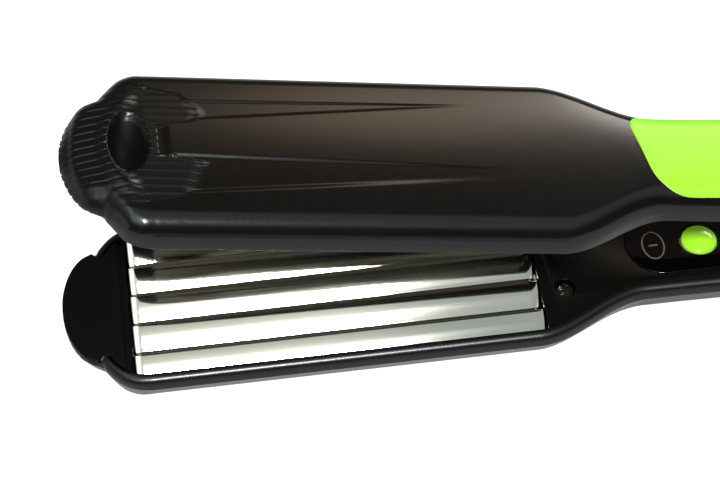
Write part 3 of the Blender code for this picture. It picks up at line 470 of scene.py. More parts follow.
def casing_half(arm, side):
    """Points of one half of a casing's skin, [station, profile, 3], drawn at y >= 0.

    A profile runs from the inner wall round the rim, up the side wall and over the shoulder to the
    spine. side is 1 for the far half and -1 for the near one, whose relief isn't a mirror image.
    """
    half = arm_line(arm)
    style = STYLE[arm]
    end = half[-1, 0]
    x0, y0 = half.T
    tip = np.clip((TIP_ROOT - x0) / TIP_LENGTH, 0, 1)
    handle = smooth((x0 - NECK_START) / NECK_LENGTH)
    wall = mix(style["wall"], TIP_WALL, tip)
    reach = mix(mix(style["reach"], style["handle"], handle), TIP_REACH, tip)
    # the way inwards: to the spine, across the outline in the neck, and round the tail
    tail_at = end - TAIL_TURN
    behind = np.minimum(x0, tail_at + (x0 - tail_at) * 0.15)
    spine_x = np.where(tip > 0, TIP_ROOT - tip * TIP_FAN, behind)
    spine = np.stack([spine_x, np.zeros_like(x0)], -1)
    way = spine - half
    way /= np.maximum(np.linalg.norm(way, axis=1), 1e-6)[:, None]
    wide = half_width(x0 + 0.5) - half_width(x0 - 0.5)
    normal = np.stack([wide, -np.ones_like(x0)], -1)
    neck = (smooth((x0 - 30) / 12) * (1 - smooth((x0 - 90) / 20)))[:, None]
    way = way * (1 - neck) + normal * neck
    way /= np.linalg.norm(way, axis=1)[:, None]
    drop, end_slope = crown_drop(x0, np.maximum(y0 - reach, 0), arm)
    full = np.maximum(depth_at(x0, arm) - drop, wall + 0.8)
    bend = np.minimum(style["round"], (full - wall) * 1.1)
    angle, last, slope_run = shoulder(full, wall, reach, bend, end_slope)

    # the ribs' ends notch the tip's edge; the end wall is open for the ears or round for the cord
    teeth = groove(y0) * smooth((-50 - x0) / 2) * smooth((17.0 - y0) / 1.0) * smooth((y0 - 1) / 3)
    teeth = teeth * TOOTH_DEPTH
    at_end = x0 > end - 0.01
    if arm == "upper":
        slot = np.where((y0 < EAR_SLOT_HALF) & at_end, EAR_SLOT_DEPTH, 0)
        flush = smooth((-48.5 - x0) / 6.0) * style["tab"]
    else:
        notch = np.sqrt(np.clip(CORD_NOTCH**2 - y0**2, 0, None))
        slot = np.where((y0 < CORD_NOTCH) & at_end, notch, 0)
        flush = smooth((FLUSH_X + 0.4 - x0) / 0.8) * (FRAME_THICKNESS + 0.05)
    rows = []

    def row(inset, rise):
        rise = np.maximum(np.maximum(rise, slot), flush)
        rows.append(np.stack([x0 + way[:, 0] * inset, y0 + way[:, 1] * inset, rise], -1))

    zero = np.zeros_like(x0)
    (fillet, rounding), rim = style["fillet"], style["rim"]
    row(zero + rim, np.minimum(zero + RIM_SEAT, wall))
    row(zero + rim, zero + RIM_EDGE)
    for t in np.linspace(0, math.pi / 2, EDGE_ROWS):
        row(rim - RIM_EDGE * (1 - np.cos(t)) + zero, zero + RIM_EDGE * (1 - np.sin(t)))
    for t in np.linspace(0, math.pi / 2, FILLET_ROWS):
        row(fillet * (1 - np.sin(t)) + teeth, zero + rounding * (1 - np.cos(t)))
    below = np.clip(wall - rounding - 0.1, 0.1, style["blend"])
    beyond = np.minimum(style["blend"] * np.cos(angle), slope_run * 0.6)
    for t in np.linspace(0, 1, WALL_ROWS + 1)[1:]:
        row(teeth, mix(rounding, wall - below, t))
    for t in np.linspace(0, 1, BLEND_ROWS + 1)[1:]:
        rise = wall - below * (1 - t) ** 2 + beyond * np.tan(angle) * t**2
        row(beyond * t**2 + teeth * (1 - t), rise)
    for t in np.linspace(0, 1, SLOPE_ROWS + 1)[1:]:
        inset = mix(beyond, slope_run, t)
        row(inset, wall + inset * np.tan(angle))
    for t in np.linspace(0, 1, ARC_ROWS + 1)[1:]:
        turn = mix(angle, last, t)
        inset = slope_run + bend * (np.sin(angle) - np.sin(turn))
        row(inset, full - bend * (np.cos(last) - np.cos(turn)))
    skin = np.array(rows).transpose(1, 0, 2)

    # the part above the wall follows the local depth and the carved relief
    x, y, z = np.moveaxis(skin[:, CARVED_FROM:], -1, 0)
    low = wall[:, None]
    share = np.clip((z - low) / np.maximum(full[:, None] - low, 0.5), 0, 1)
    local = depth_at(x, arm) - drop[:, None]
    change = (local - full[:, None]) * share - relief(x, side * y, arm) * share
    skin[:, CARVED_FROM:, 2] = np.maximum(z + change, slot[:, None])

    start = skin[:, -1, :2]
    inner = np.linspace(0, 1, TOP_ROWS + 1)[1:, None, None]
    spots = start[None] + (spine[None] - start[None]) * inner
    # the crown of the top, from the drop at the shoulder to none at the spine
    falls = drop[None] * (1 - inner[..., 0]) ** 2
    rise = depth_at(spots[..., 0], arm) - falls - relief(spots[..., 0], side * spots[..., 1], arm)
    top = np.concatenate([spots, rise[..., None]], -1).transpose(1, 0, 2)
    return np.concatenate([skin, top], 1)


def casing_points(arm):
    """Points of the whole outer skin of a casing, [station, profile, 3]."""
    far = casing_half(arm, 1)
    near = casing_half(arm, -1)[::-1] * (1, -1, 1)
    return np.concatenate([far, near[1:]], 0)


# ---- materials


def noise_node(tree, coords, scale, detail=3.0, stretch=None):
    noise = tree.nodes.new("ShaderNodeTexNoise")
    noise.inputs["Scale"].default_value = scale
    noise.inputs["Detail"].default_value = detail
    source = coords.outputs["Object"]
    if stretch:
        mapping = tree.nodes.new("ShaderNodeMapping")
        mapping.inputs["Scale"].default_value = stretch
        tree.links.new(source, mapping.inputs["Vector"])
        source = mapping.outputs["Vector"]
    tree.links.new(source, noise.inputs["Vector"])
    return noise


def map_range(tree, source, low, high, to_low, to_high):
    node = tree.nodes.new("ShaderNodeMapRange")
    limits = {"From Min": low, "From Max": high, "To Min": to_low, "To Max": to_high}
    for name, value in limits.items():
        node.inputs[name].default_value = value
    tree.links.new(source, node.inputs["Value"])
    return node.outputs["Result"]


def color_mix(tree, factor, a, b):
    node = tree.nodes.new("ShaderNodeMix")
    node.data_type = "RGBA"
    node.inputs[6].default_value = (*a, 1)
    node.inputs[7].default_value = (*b, 1)
    tree.links.new(factor, node.inputs[0])
    return node.outputs[2]


def finish(name, color, other, rough, metal=0.0, scale=900, bump_height=0.00001, stretch=None,
           **extra):
    """A finish whose colour and roughness wander between two values, with a fine bump."""
    material = bpy.data.materials.new(name)
    material.use_nodes = True
    tree = material.node_tree
    shader = tree.nodes["Principled BSDF"]
    coords = tree.nodes.new("ShaderNodeTexCoord")
    soft = noise_node(tree, coords, 60)
    fine = noise_node(tree, coords, scale, 4.0, stretch)
    wander = map_range(tree, soft.outputs["Fac"], 0.3, 0.7, 0.0, 1.0)
    tree.links.new(color_mix(tree, wander, color, other), shader.inputs["Base Color"])
    roughness = map_range(tree, fine.outputs["Fac"], 0.3, 0.7, *rough)
    tree.links.new(roughness, shader.inputs["Roughness"])
    bumper = tree.nodes.new("ShaderNodeBump")
    bumper.inputs["Strength"].default_value = 1.0
    bumper.inputs["Distance"].default_value = bump_height
    tree.links.new(fine.outputs["Fac"], bumper.inputs["Height"])
    tree.links.new(bumper.outputs["Normal"], shader.inputs["Normal"])
    shader.inputs["Metallic"].default_value = metal
    for key, value in extra.items():
        shader.inputs[key.replace("_", " ")].default_value = value
    return material


SHELL = finish("shell_gloss_black", (0.0018, 0.0016, 0.0012), (0.0024, 0.0021, 0.0016),
               (0.17, 0.22), scale=1400, bump_height=0.0000010)
RIBS = finish("shell_ribs", (0.0024, 0.0026, 0.0023), (0.0030, 0.0032, 0.0029), (0.24, 0.30),
              scale=2400, bump_height=0.000002, Specular_IOR_Level=0.34)
# the finish of the finger scoop and the trench: matt, reflecting little, and darker than the shell,
# a painted shade in these hollows
HOLLOW_SHADE_FINISH = finish("shell_hollow_painted_shade", (0.0008, 0.0008, 0.0006), (0.0011, 0.0011, 0.0009), (0.55, 0.65),
               scale=2400, bump_height=0.000002, Specular_IOR_Level=0.12)
WALL = finish("shell_wall", (0.0030, 0.0032, 0.0036), (0.0038, 0.0040, 0.0045), (0.24, 0.30),
              scale=2400, bump_height=0.000002, Specular_IOR_Level=0.42)
INNER = finish("inner_charcoal", (0.0020, 0.0020, 0.0015), (0.0026, 0.0026, 0.0020), (0.30, 0.38),
               scale=3200, bump_height=0.000008, Specular_IOR_Level=0.12)
LIME = finish("lime_satin", (0.300, 0.86, 0.022), (0.325, 0.88, 0.027), (0.32, 0.40),
              scale=2600, bump_height=0.000006)
LIME_BUTTON = finish("lime_button", (0.35, 0.86, 0.030), (0.38, 0.89, 0.036), (0.10, 0.16),
                     scale=2600, bump_height=0.000002)
PLATE = finish("plate_metal", (0.56, 0.548, 0.462), (0.61, 0.598, 0.51), (0.045, 0.07), metal=1.0,
               scale=900, bump_height=0.0000015, stretch=(0.02, 1, 1))
COATED = finish("plate_dark_coat", (0.15, 0.14, 0.12), (0.18, 0.17, 0.15), (0.12, 0.18), metal=1.0,
                scale=900, bump_height=0.0000015, stretch=(0.02, 1, 1))
PANEL = finish("panel_gloss_black", (0.0012, 0.0009, 0.0007), (0.0016, 0.0012, 0.0009),
               (0.03, 0.06), scale=1200, bump_height=0.0000005)
RUBBER = finish("soft_black_rubber", (0.012, 0.012, 0.012), (0.017, 0.016, 0.015), (0.55, 0.68),
                scale=3500, bump_height=0.00002)
STEEL = finish("bright_steel", (0.60, 0.59, 0.57), (0.68, 0.67, 0.65), (0.18, 0.28), metal=1.0,
               scale=2200, bump_height=0.000004)
BRASS = finish("turned_brass", (0.65, 0.44, 0.16), (0.72, 0.50, 0.20), (0.22, 0.34), metal=1.0,
               scale=2200, bump_height=0.000004)
CERAMIC = finish("ceramic_white", (0.70, 0.69, 0.65), (0.78, 0.77, 0.73), (0.40, 0.52), scale=2400)
MICA = finish("insulating_sheet", (0.50, 0.42, 0.26), (0.60, 0.52, 0.34), (0.30, 0.45), scale=1500)
SCREW = finish("screw_dark", (0.10, 0.10, 0.10), (0.14, 0.14, 0.13), (0.24, 0.34), metal=1.0,
               scale=2200)
SILICONE = finish("silicone_pad", (0.42, 0.10, 0.06), (0.48, 0.13, 0.08), (0.50, 0.62), scale=2600)
LEAD = finish("lead_sleeve", (0.62, 0.60, 0.55), (0.70, 0.68, 0.62), (0.45, 0.60), scale=4200,
              bump_height=0.00003)
BOARD = finish("board_green", (0.02, 0.16, 0.06), (0.03, 0.20, 0.08), (0.28, 0.40), scale=1800)
PRINT = finish("panel_print", (0.085, 0.066, 0.042), (0.10, 0.078, 0.050), (0.40, 0.50), scale=2600)

# ---- casings


SATIN_TOP = 3.6
SATIN_TIP = -54
CARVED_END = -32
CARVED_LOW = 1.9
GLOSS, MATT_RIBS, SHADE_PAINTED_HOLLOWS, SATIN_WALL = range(4)


def zone_of(x, y, depth, arm):
    """Which of the casing's four finishes a face has."""
    if arm == "lower" and depth < SATIN_TOP and x > SATIN_TIP:
        return SATIN_WALL
    if arm == "cover" or x > CARVED_END or depth < CARVED_LOW:
        return GLOSS
    # the scoop and the trench take the darker finish, a painted shade in these hollows
    if scoop_span(x, y) < 0.8 or (arm == "upper" and trench(x, y) > 0.04):
        return SHADE_PAINTED_HOLLOWS
    return MATT_RIBS if ribbed(x, y) > 0.02 else GLOSS


for arm, name in (("upper", "upper_casing"), ("lower", "lower_casing"), ("cover", "tail_cover")):
    mesh = weld(grid_mesh(f"{arm}_skin", casing_points(arm)), 2e-3, 50)
    zones = [zone_of(*face.center, arm) for face in mesh.polygons]
    place(f"{name}_skin", mesh, arm, SHELL, [name])
    if arm != "cover":
        for material in (RIBS, HOLLOW_SHADE_FINISH, WALL):
            mesh.materials.append(material)
        mesh.polygons.foreach_set("material_index", zones)


def surface_depth(x, y, arm):
    """Depth of a casing's outer face on the handle."""
    style = STYLE[arm]
    handle = smooth((x - NECK_START) / NECK_LENGTH)
    reach = mix(style["reach"], style["handle"], handle)
    half = half_width(x)
    drop, end_slope = crown_drop(x, half - reach, arm)
    full = depth_at(x, arm) - drop
    bend = np.full_like(full, style["round"])
    angle, last, slope_run = shoulder(full, style["wall"], reach, bend, end_slope)
    wide = half_width(x + 0.5) - half_width(x - 0.5)
    inset = (half - np.abs(y)) / np.sqrt(1 + wide**2)
    turn = np.arcsin(np.clip(np.sin(angle) - (inset - slope_run) / style["round"], np.sin(last), 1))
    arc = full - style["round"] * (np.cos(last) - np.cos(turn))
    flat = depth_at(x, arm) - drop * np.clip(np.abs(y) / (half - reach), 0, 1) ** 2
    slope = style["wall"] + inset * np.tan(angle)
    return np.where(inset < slope_run, slope, np.where(inset < reach, arc, flat))


# ---- grips


def rounded_outline(corners, steps=10):
    """A closed outline from its corners, each with how far its rounding reaches."""
    outline = []
    for i, (x, y, radius) in enumerate(corners):
        corner = np.array((x, y))
        before = np.array(corners[i - 1][:2]) - corner
        after = np.array(corners[(i + 1) % len(corners)][:2]) - corner
        before *= radius / np.linalg.norm(before)
        after *= radius / np.linalg.norm(after)
        for t in np.linspace(0, 1, steps):
            outline.append(corner + before * (1 - t) ** 2 + after * t**2)
    return np.array(outline)


GRIP_HALF = {"upper": 11.8, "lower": 9.9}
GRIP_FAR_X, GRIP_NEAR_X, GRIP_END_X = 65.5, 69.6, 169.5
GRIP_PROUD = 0.16
GRIP_ROUNDED = 0.38
GRIP_EDGE = ((0.05, -1.2), (0.0, -0.05), (0.07, 0.06), (0.2, 0.13), (GRIP_ROUNDED, GRIP_PROUD))


def grip_mesh(arm):
    """An insert on the handle, with rounded edges, that stands a little proud."""
    half = GRIP_HALF[arm]
    corners = (
        (GRIP_FAR_X, half, 5.5), (GRIP_NEAR_X, -half, 8.0),
        (GRIP_END_X, -half, 5.0), (GRIP_END_X, half, 5.0),
    )
    outline = rounded_outline(corners, 12)
    outline = resample(np.vstack([outline, outline[:1]]), 0.8)[:-1]
    centre = np.array([np.clip(outline[:, 0], 78, 160), np.zeros(len(outline))]).T
    way = centre - outline
    length = np.linalg.norm(way, axis=1)[:, None]
    way = way / length
    steps = list(GRIP_EDGE)
    for share in np.linspace(0, 1, 28)[1:]:
        steps.append((mix(GRIP_ROUNDED, length, share), GRIP_PROUD))
    rings = []
    for inset, proud in steps:
        spot = outline + way * inset
        rings.append(np.column_stack([spot, surface_depth(spot[:, 0], spot[:, 1], arm) + proud]))
    mesh = grid_mesh("grip", np.array(rings).transpose(1, 0, 2), loop_u=True)
    return weld(mesh, 1e-3, 60)


for arm in ("upper", "lower"):
    place(f"{arm}_grip_skin", grip_mesh(arm), arm, LIME, [f"{arm}_grip"])


# ---- inner frames


def mirrored(line):
    """A closed outline from its half at y >= 0."""
    other = line[::-1] * (1, -1)
    return np.vstack([line, other[np.abs(other[:, 1]) > 0.02]])


def inset_line(line, amount):
    """A half outline moved inwards by an amount, at y >= 0."""
    ahead = np.gradient(line, axis=0)
    normal = np.stack([ahead[:, 1], -ahead[:, 0]], -1)
    normal /= np.maximum(np.linalg.norm(normal, axis=1), 1e-9)[:, None]
    return line + normal * amount


def circle(x, y, radius, count=40):
    turns = np.linspace(0, 2 * math.pi, count, endpoint=False)
    return np.stack([x + radius * np.cos(turns), y + radius * np.sin(turns)], -1)


def panel_outline(grow=0.0, steps=24):
    """The control panel's outline with its two round ends, or one that is larger by grow."""
    radius = PANEL_HALF + grow
    far_end = PANEL_START + PANEL_LENGTH - PANEL_HALF
    out = []
    for centre, first in ((far_end, -math.pi / 2), (PANEL_START + PANEL_HALF, math.pi / 2)):
        for t in np.linspace(0, math.pi, steps):
            out.append((centre + radius * math.cos(first + t), radius * math.sin(first + t)))
    return np.array(out)


SCREWS = ((53.8, 9.9), (53.8, -9.9), (160.0, 7.0), (160.0, -7.0))
SCREW_HOLE = 2.5
SCREW_WELL = ((2.5, 0.1), (2.5, 1.75), (2.35, 1.9), (1.4, 1.9), (1.4, 3.2), (3.5, 3.2), (3.5, 2.1))
TAB_END_X = -49.9
WINDOW_TIP_X = -48.05
WINDOW_HALF = 20.75
LEDGE_DEPTH = 1.2
BUTTON_HOLE = 4.6


def frame_mesh(arm):
    """The inner face of an arm: the tip's tab, the ledges round the plate, and the handle."""
    inset = STYLE[arm]["rim"] + SEAM
    low = STYLE[arm]["tab"]
    parts = []
    tip = pulled(tip_line(arm), arm)
    # the lower arm's tab reaches the very edge of the tip
    share = np.ones(len(tip)) if low else smooth((tip[:, 0] - FLUSH_X) / 0.8)
    edge = inset_line(tip, inset * share[:, None])
    tab = edge[tip[:, 0] < TAB_END_X - 0.2]
    tab = np.vstack([tab, [(TAB_END_X, tab[-1, 1] + 0.1)]])
    parts.append(sheet_mesh([mirrored(tab)[::-1]], low + 0.02, FRAME_THICKNESS, FRAME_EDGE))

    straight = pulled(side_line(TIP_ROOT, HEAD_END_X), arm)
    side = np.vstack([[(TAB_END_X, tab[-1, 1])], edge, straight - (0, inset)])
    side = side[(side[:, 0] >= TAB_END_X) & (side[:, 0] <= HEAD_END_X)]
    beside = side[:, 0] > WINDOW_TIP_X - 0.55
    side[:, 1] = np.where(beside, np.maximum(side[:, 1], WINDOW_HALF + 0.15), side[:, 1])
    window = np.array([
        (HEAD_END_X, -WINDOW_HALF), (WINDOW_TIP_X, -WINDOW_HALF),
        (WINDOW_TIP_X, WINDOW_HALF), (HEAD_END_X, WINDOW_HALF),
    ])
    around = np.vstack([side[::-1], side * (1, -1), window])
    parts.append(sheet_mesh([around], LEDGE_DEPTH, FRAME_THICKNESS, 0.05))

    handle = inset_line(side_line(HEAD_END_X, FRAME_END_X), inset)
    handle[0, 0] = HEAD_END_X
    handle[-1, 0] = FRAME_END_X
    holes = [circle(x, y, SCREW_HOLE) for x, y in SCREWS]
    if arm == "lower":
        # the panel's bed, with the button's hole
        holes.append(panel_outline(0.22))
        bed = [panel_outline(0.5), circle(BUTTON_X, 0, BUTTON_HOLE)]
        parts.append(sheet_mesh(bed, 1.25, FRAME_THICKNESS, 0.02))
    else:
        # a dimple that clears the button when the arms close
        holes.append(circle(BUTTON_X, 0, 4.9))
        parts.append(sheet_mesh([circle(BUTTON_X, 0, 5.1)], 0.9, FRAME_THICKNESS, 0.02))
    parts.append(sheet_mesh([mirrored(handle)[::-1], *holes], 0.0, FRAME_THICKNESS, FRAME_EDGE))
    for x, y in SCREWS:
        parts.append(turned_mesh(SCREW_WELL, 40, at=(x, y, 0)))
    return join_meshes(parts)


EAR_RADIUS = 5.5
EAR_THICKNESS = 2.8
EAR_INSIDE = {"lower": 8.0, "upper": 4.6}
EAR_BORE = {"lower": 2.06, "upper": 3.36}
EAR_START_X = 183.3
EAR_RISE = (0.5, 4.8)
# start and end in X, half width, and low and high depth
END_WALL = (182.65, 183.7, 9.4, 0.3, 4.6)
SPRING_SHELF = (182.7, 191.0, 4.2, 3.35, 4.55)


def ear_meshes(arm):
    """Hinge ears, the end wall that joins them to the frame, and the shelf for the spring's leg."""
    parts = []
    turns = np.linspace(-math.pi * 0.62, math.pi * 0.60, 40)
    ring = [
        (HINGE_X + EAR_RADIUS * math.cos(t), -HINGE_RISE + EAR_RADIUS * math.sin(t)) for t in turns
    ]
    outline = np.array([(EAR_START_X, EAR_RISE[0]), *ring, (EAR_START_X, EAR_RISE[1])])
    bore = circle(HINGE_X, -HINGE_RISE, EAR_BORE[arm])
    for side in (1, -1):
        mesh = sheet_mesh([outline, bore], 0.0, EAR_THICKNESS, 0.25)
        for vertex in mesh.vertices:
            x, depth, across = vertex.co
            vertex.co = (x, side * (EAR_INSIDE[arm] + across), depth)
        parts.append(weld(mesh, 1e-4, 35))
    for start, end, half, low, high in (END_WALL, SPRING_SHELF):
        outline = np.array([(start, -half), (end, -half), (end, half), (start, half)])
        parts.append(sheet_mesh([outline], low, high, 0.1))
    return parts


for arm in ("upper", "lower"):
    mesh = join_meshes([frame_mesh(arm), *ear_meshes(arm)])
    mesh.shade_smooth()
    mesh.set_sharp_from_angle(angle=math.radians(35))
    place(f"{arm}_frame_skin", mesh, arm, INNER, [f"{arm}_frame"])

# ---- plates


def wave_depth(y, arm):
    """A long flank towards the near side and a steep one behind it, with rounded edges."""
    y = y if arm == "lower" else -y
    spread = np.linspace(-WAVE_ROUNDING, WAVE_ROUNDING, 15)
    share = ((y[:, None] + WAVE_SHIFT + spread) / WAVE_PITCH) % 1.0
    down = np.clip(share / LONG_FLANK, 0, 1)
    down += FLANK_BEND * (down**2 - down)
    fall = np.where(share < LONG_FLANK, down, (1 - share) / (1 - LONG_FLANK))
    wave = 1 - 2 * fall.mean(axis=1)
    if arm == "lower":
        return LOWER_WAVE_DEPTH - WAVE_HEIGHT * wave
    return UPPER_WAVE_DEPTH + WAVE_HEIGHT * wave


PLATE_END = ((0.0, 99.0), (0.0, 0.35), (0.1, 0.12), (0.35, 0.0), (2.0, 0.0))


def plate_mesh(arm):
    """A corrugated plate with rounded ends and a flat back.

    PLATE_END gives the rows at each end, as the way from the end and how far the face sinks there.
    The outermost row sinks to the back, whatever the wave's depth.
    """
    inside = np.linspace(-PLATE_HALF_WIDTH, PLATE_HALF_WIDTH, 321)
    ys = np.concatenate([[-PLATE_HALF_WIDTH], inside, [PLATE_HALF_WIDTH]])
    face = np.concatenate([[PLATE_BACK], wave_depth(inside, arm), [PLATE_BACK]])
    half = PLATE_HALF_LENGTH
    rows = [(-half + way, sink) for way, sink in PLATE_END]
    rows += [(x, 0.0) for x in np.linspace(-half + 4, half - 4, 24)]
    rows += [(half - way, sink) for way, sink in reversed(PLATE_END)]
    points = []
    for x, sink in rows:
        depth = np.minimum(face + sink, PLATE_BACK)
        points.append(np.column_stack([np.full(len(ys), x), ys, depth]))
    return weld(grid_mesh("plate", np.array(points)), 1e-3, 40)


for arm, metal in (("lower", PLATE), ("upper", COATED)):
    body = f"{arm}_heating_plate"
    place(f"{arm}_plate_skin", plate_mesh(arm), arm, metal, [f"{arm}_plate"], body)

# ---- controls

panel = sheet_mesh([panel_outline(), circle(BUTTON_X, 0, BUTTON_HOLE)], 0.0, 0.9, 0.22, 3)
place("control_panel_skin", panel, "lower", PANEL, ["control_panel"])

# a plain standby symbol: a short bar in an oval ring
SYMBOL_AT = (76.8, 0.4)
SYMBOL_OVALS = ((2.75, 4.2), (2.35, 3.8))
SYMBOL_BAR = ((75.7, 0.15, 0.2), (77.9, 0.15, 0.2), (77.9, 0.65, 0.2), (75.7, 0.65, 0.2))
PRINT_LAYER = (-0.03, 0.03, 0.01, 1)
outer, inner = (circle(0, 0, 1, 64) * halves + SYMBOL_AT for halves in SYMBOL_OVALS)
bar = rounded_outline(SYMBOL_BAR, 5)
symbol = [sheet_mesh([outer, inner[::-1]], *PRINT_LAYER), sheet_mesh([bar], *PRINT_LAYER)]
place("standby_symbol", join_meshes(symbol), "lower", PRINT)

BUTTON_PROFILE = (
    (0.0, -1.2), (0.9, -1.15), (1.8, -1.0), (2.6, -0.78), (3.3, -0.5), (3.8, -0.24),
    (4.1, -0.02), (4.25, 0.2), (4.3, 0.45), (4.3, 2.8), (5.0, 2.8), (5.0, 3.0),
    (1.5, 3.0), (1.5, 3.4), (0.0, 3.4),
)
button = turned_mesh(BUTTON_PROFILE, 72, at=(BUTTON_X, 0, 0))
place("power_button_skin", button, "lower", LIME_BUTTON, ["power_button"], "button")

SCREW_FLAT = 1.9
SCREW_TOP = 0.5
SCREW_DEPTH = 0.5
CROSS_HALF = 0.42
CROSS_REACH = 1.55
SCREW_TURN = 0.6


def screw_mesh():
    """A screw's head with a rounded edge and a cross recess."""
    radii = np.concatenate([np.linspace(0, SCREW_FLAT, 16), [2.0, 2.1, 2.17, 2.2, 2.2]])
    turns = np.linspace(0, 2 * math.pi, 96, endpoint=False)
    x, y = np.outer(np.cos(turns), radii), np.outer(np.sin(turns), radii)
    edge = (np.clip(radii - SCREW_FLAT, 0, None) / 0.3) ** 2 * 0.3
    rise = np.zeros_like(x) + SCREW_TOP + edge
    rise[:, -1] = 1.6
    arms = np.minimum(np.abs(x), np.abs(y))
    reach = np.maximum(np.abs(x), np.abs(y))
    cross = smooth((CROSS_HALF - arms - 0.08 * reach) / 0.12) * smooth((CROSS_REACH - reach) / 0.15)
    rise += cross * (0.62 - 0.2 * reach / 1.5)
    return weld(grid_mesh("screw", np.stack([x, y, rise], -1), loop_u=True), 1e-4, 50)


for arm in ("lower", "upper"):
    for number, (x, y) in enumerate(SCREWS, 1):
        mesh = screw_mesh()
        turned = Matrix.Rotation(SCREW_TURN * number, 4, "Z")
        mesh.transform(Matrix.Translation((x, y, SCREW_DEPTH)) @ turned)
        place(f"{arm}_screw_skin_{number}", mesh, arm, SCREW, [f"{arm}_screw_{number}"])

# ---- hinge and cord inlet

CAP_PROFILE = (
    (0.0, 13.55), (2.6, 13.7), (3.4, 13.68), (3.7, 13.58), (3.8, 13.4), (3.8, 11.3), (0.0, 11.3),
)
for name, side in (("near", -1), ("far", 1)):
    mesh = turned_mesh(CAP_PROFILE, 48, axis="Y")
    if side < 0:
        mesh.transform(Matrix.Rotation(math.pi, 4, "X"))
    mesh.transform(Matrix.Translation((HINGE_X, 0, HINGE_RISE)))
    place(f"hinge_cap_skin_{name}", mesh, "cover", PANEL, [f"hinge_cap_{name}"])

# the inlet's profile: its mouth, the strain ribs, and the neck and flange inside the tail
SWIVEL_MOUTH = ((3.5, 10.3), (3.7, 10.38), (4.2, 10.38), (4.5, 10.2))
SWIVEL_NECK = (
    (5.4, 1.7), (5.4, 0.5), (5.2, 0.3), (4.5, 0.3), (4.5, -1.8),
    (6.2, -1.8), (6.2, -3.4), (3.5, -3.4), (3.5, 10.3),
)
STRAIN_RIBS = 6
STRAIN_STEP = 1.3
nose = list(SWIVEL_MOUTH)
for i in range(STRAIN_RIBS):
    top = 9.7 - i * STRAIN_STEP
    wide = mix(4.6, 5.4, (10.3 - top) / 8.4)
    nose += [(wide, top), (wide + 0.04, top - 0.6)]
    nose += [(wide - 0.45, top - 0.75), (wide - 0.45, top - 1.1)]
nose += SWIVEL_NECK
mesh = turned_mesh(nose, 72, axis="X", at=(TAIL_X, 0, 0))
place("cord_swivel_skin", mesh, "cover", RUBBER, ["cord_swivel"], "swivel")

# ---- materials for the CAD nodes that stay

# the first key found in a node's name gives its finish
KEPT = {
    "heater_clip": STEEL,
    "heater": CERAMIC,
    "insulator": MICA,
    "pad": SILICONE,
    "lead": LEAD,
    "thermistor": CERAMIC,
    "thermal_fuse": STEEL,
    "tact_switch": PANEL,
    "control_board": BOARD,
    "relay": CERAMIC,
    "hinge_pin": STEEL,
    "hinge_bush": BRASS,
    "hinge_spring": STEEL,
}
for name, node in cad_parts.items():
    if not node.hide_render:
        node.data.materials.clear()
        node.data.materials.append(next(KEPT[key] for key in KEPT if key in name))

# ---- floor, light and camera

FLOOR_HALF = 3
FLOOR_Z = -0.0002
FLOOR_LIFT = 0.8
floor_points = np.zeros((2, 2, 3))
floor_points[..., 0] = [[-FLOOR_HALF, -FLOOR_HALF], [FLOOR_HALF, FLOOR_HALF]]
floor_points[..., 1] = [[-FLOOR_HALF, FLOOR_HALF], [-FLOOR_HALF, FLOOR_HALF]]
floor_mesh = grid_mesh("floor", floor_points)
floor = bpy.data.objects.new("floor", floor_mesh)
floor.location.z = FLOOR_Z
bpy.context.scene.collection.objects.link(floor)
FLOOR = finish("floor_white", (0.44, 0.44, 0.44), (0.46, 0.46, 0.46), (0.8, 0.9), scale=40,
               bump_height=0.0)
floor_mesh.materials.append(FLOOR)
# the floor shows white to the camera without more light on the object
floor_tree = FLOOR.node_tree
floor_shader = floor_tree.nodes["Principled BSDF"]
floor_path = floor_tree.nodes.new("ShaderNodeLightPath")
lift = map_range(floor_tree, floor_path.outputs["Is Camera Ray"], 0, 1, 0, FLOOR_LIFT)
floor_shader.inputs["Emission Color"].default_value = (1, 1, 1, 1)
floor_tree.links.new(lift, floor_shader.inputs["Emission Strength"])

world = bpy.data.worlds.new("studio")
bpy.context.scene.world = world
world.use_nodes = True
sky = world.node_tree
sky.nodes.clear()
out = sky.nodes.new("ShaderNodeOutputWorld")
mixer = sky.nodes.new("ShaderNodeMixShader")
plain = sky.nodes.new("ShaderNodeBackground")
studio = sky.nodes.new("ShaderNodeBackground")
path = sky.nodes.new("ShaderNodeLightPath")
coords = sky.nodes.new("ShaderNodeTexCoord")
split = sky.nodes.new("ShaderNodeSeparateXYZ")
sky.links.new(coords.outputs["Generated"], split.inputs["Vector"])
sky.links.new(path.outputs["Is Camera Ray"], mixer.inputs["Fac"])
sky.links.new(studio.outputs["Background"], mixer.inputs[1])
sky.links.new(plain.outputs["Background"], mixer.inputs[2])
sky.links.new(mixer.outputs["Shader"], out.inputs["Surface"])
plain.inputs["Color"].default_value = (1, 1, 1, 1)
plain.inputs["Strength"].default_value = 1.0

# softboxes as windows of the sky: colour, then low edge, high edge and softness in X, Y and Z
WINDOWS = (
    ((0.42, 0.49, 0.54), (), (-0.85, 0.42, 0.28), (0.46, 1.2, 0.24)),
    ((1.55, 1.70, 1.75), (-0.60, -0.10, 0.22), (-0.85, 0.42, 0.28), (0.46, 1.2, 0.24)),
    ((0.60, 0.61, 0.53), (-0.16, 0.11, 0.08), (-0.75, 0.1, 0.1), (0.72, 1.00, 0.12)),
    ((3.00, 2.15, 1.50), (0.24, 0.44, 0.09), (0.30, 1.2, 0.2), (0.44, 0.69, 0.09)),
    ((12.0, 11.2, 10.2), (0.39, 1.0, 0.05), (0.45, 1.2, 0.2), (0.36, 0.56, 0.07)),
    ((0.60, 0.60, 0.60), (-1.2, -0.75, 0.1), (), (-0.2, 0.5, 0.25)),
)
BASE_SKY = (0.10, 0.09, 0.08)


def multiply(a, b):
    node = sky.nodes.new("ShaderNodeMath")
    node.operation = "MULTIPLY"
    sky.links.new(a, node.inputs[0])
    sky.links.new(b, node.inputs[1])
    return node.outputs[0]


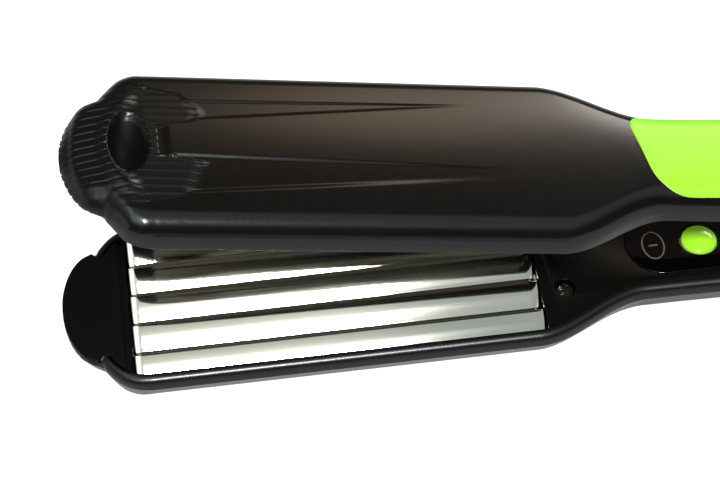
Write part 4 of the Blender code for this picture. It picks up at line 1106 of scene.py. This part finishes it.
def window(source, low, high, soft):
    """1 between low and high along an axis of the direction, fading over soft."""
    up = map_range(sky, source, low, low + soft, 0, 1)
    down = map_range(sky, source, high - soft, high, 1, 0)
    for socket in (up, down):
        socket.node.interpolation_type = "SMOOTHSTEP"
    return multiply(up, down)


# the sum of all windows over the base
total = None
for color, *edges in WINDOWS:
    share = None
    for source, edge in zip(split.outputs, edges):
        if not edge:
            continue
        part = window(source, *edge)
        share = part if share is None else multiply(share, part)
    node = sky.nodes.new("ShaderNodeVectorMath")
    node.operation = "MULTIPLY_ADD"
    node.inputs[0].default_value = color
    sky.links.new(share, node.inputs[1])
    if total is None:
        node.inputs[2].default_value = BASE_SKY
    else:
        sky.links.new(total, node.inputs[2])
    total = node.outputs["Vector"]
sky.links.new(total, studio.inputs["Color"])
studio.inputs["Strength"].default_value = 1.0


KEY_AT = Vector((-0.10, -0.63, 1.02))
KEY_AIM = Vector((-0.05, 0, 0))
key_data = bpy.data.lights.new("key", "AREA")
key_data.shape = "RECTANGLE"
key_data.size, key_data.size_y = 0.22, 0.12
key_data.energy = 15.5
key = bpy.data.objects.new("key", key_data)
key.location = KEY_AT
key.rotation_euler = (KEY_AIM - KEY_AT).to_track_quat("-Z", "Y").to_euler()
bpy.context.scene.collection.objects.link(key)

# the camera as it was fitted to the photograph's outlines
CAMERA_AT = Vector((-104.63, -315.35, 419.11)) * MM
CAMERA_ANGLES = (-5.82, 51.25, -1.75)
camera_data = bpy.data.cameras.new("camera")
camera_data.sensor_width = 36.0
camera_data.lens = 109.7
camera_data.clip_start, camera_data.clip_end = 0.01, 20.0
azimuth, elevation, roll = (math.radians(angle) for angle in CAMERA_ANGLES)
level = math.cos(elevation)
back = Vector((math.sin(azimuth) * level, -math.cos(azimuth) * level, math.sin(elevation)))
right = Vector((0, 0, 1)).cross(back).normalized()
up = back.cross(right)
across = right * math.cos(roll) + up * math.sin(roll)
above = up * math.cos(roll) - right * math.sin(roll)
camera = bpy.data.objects.new("camera", camera_data)
turned = Matrix((across, above, back)).transposed().to_4x4()
camera.matrix_world = Matrix.Translation(CAMERA_AT) @ turned
bpy.context.scene.collection.objects.link(camera)
bpy.context.scene.camera = camera
bpy.context.scene.view_settings.view_transform = "Standard"
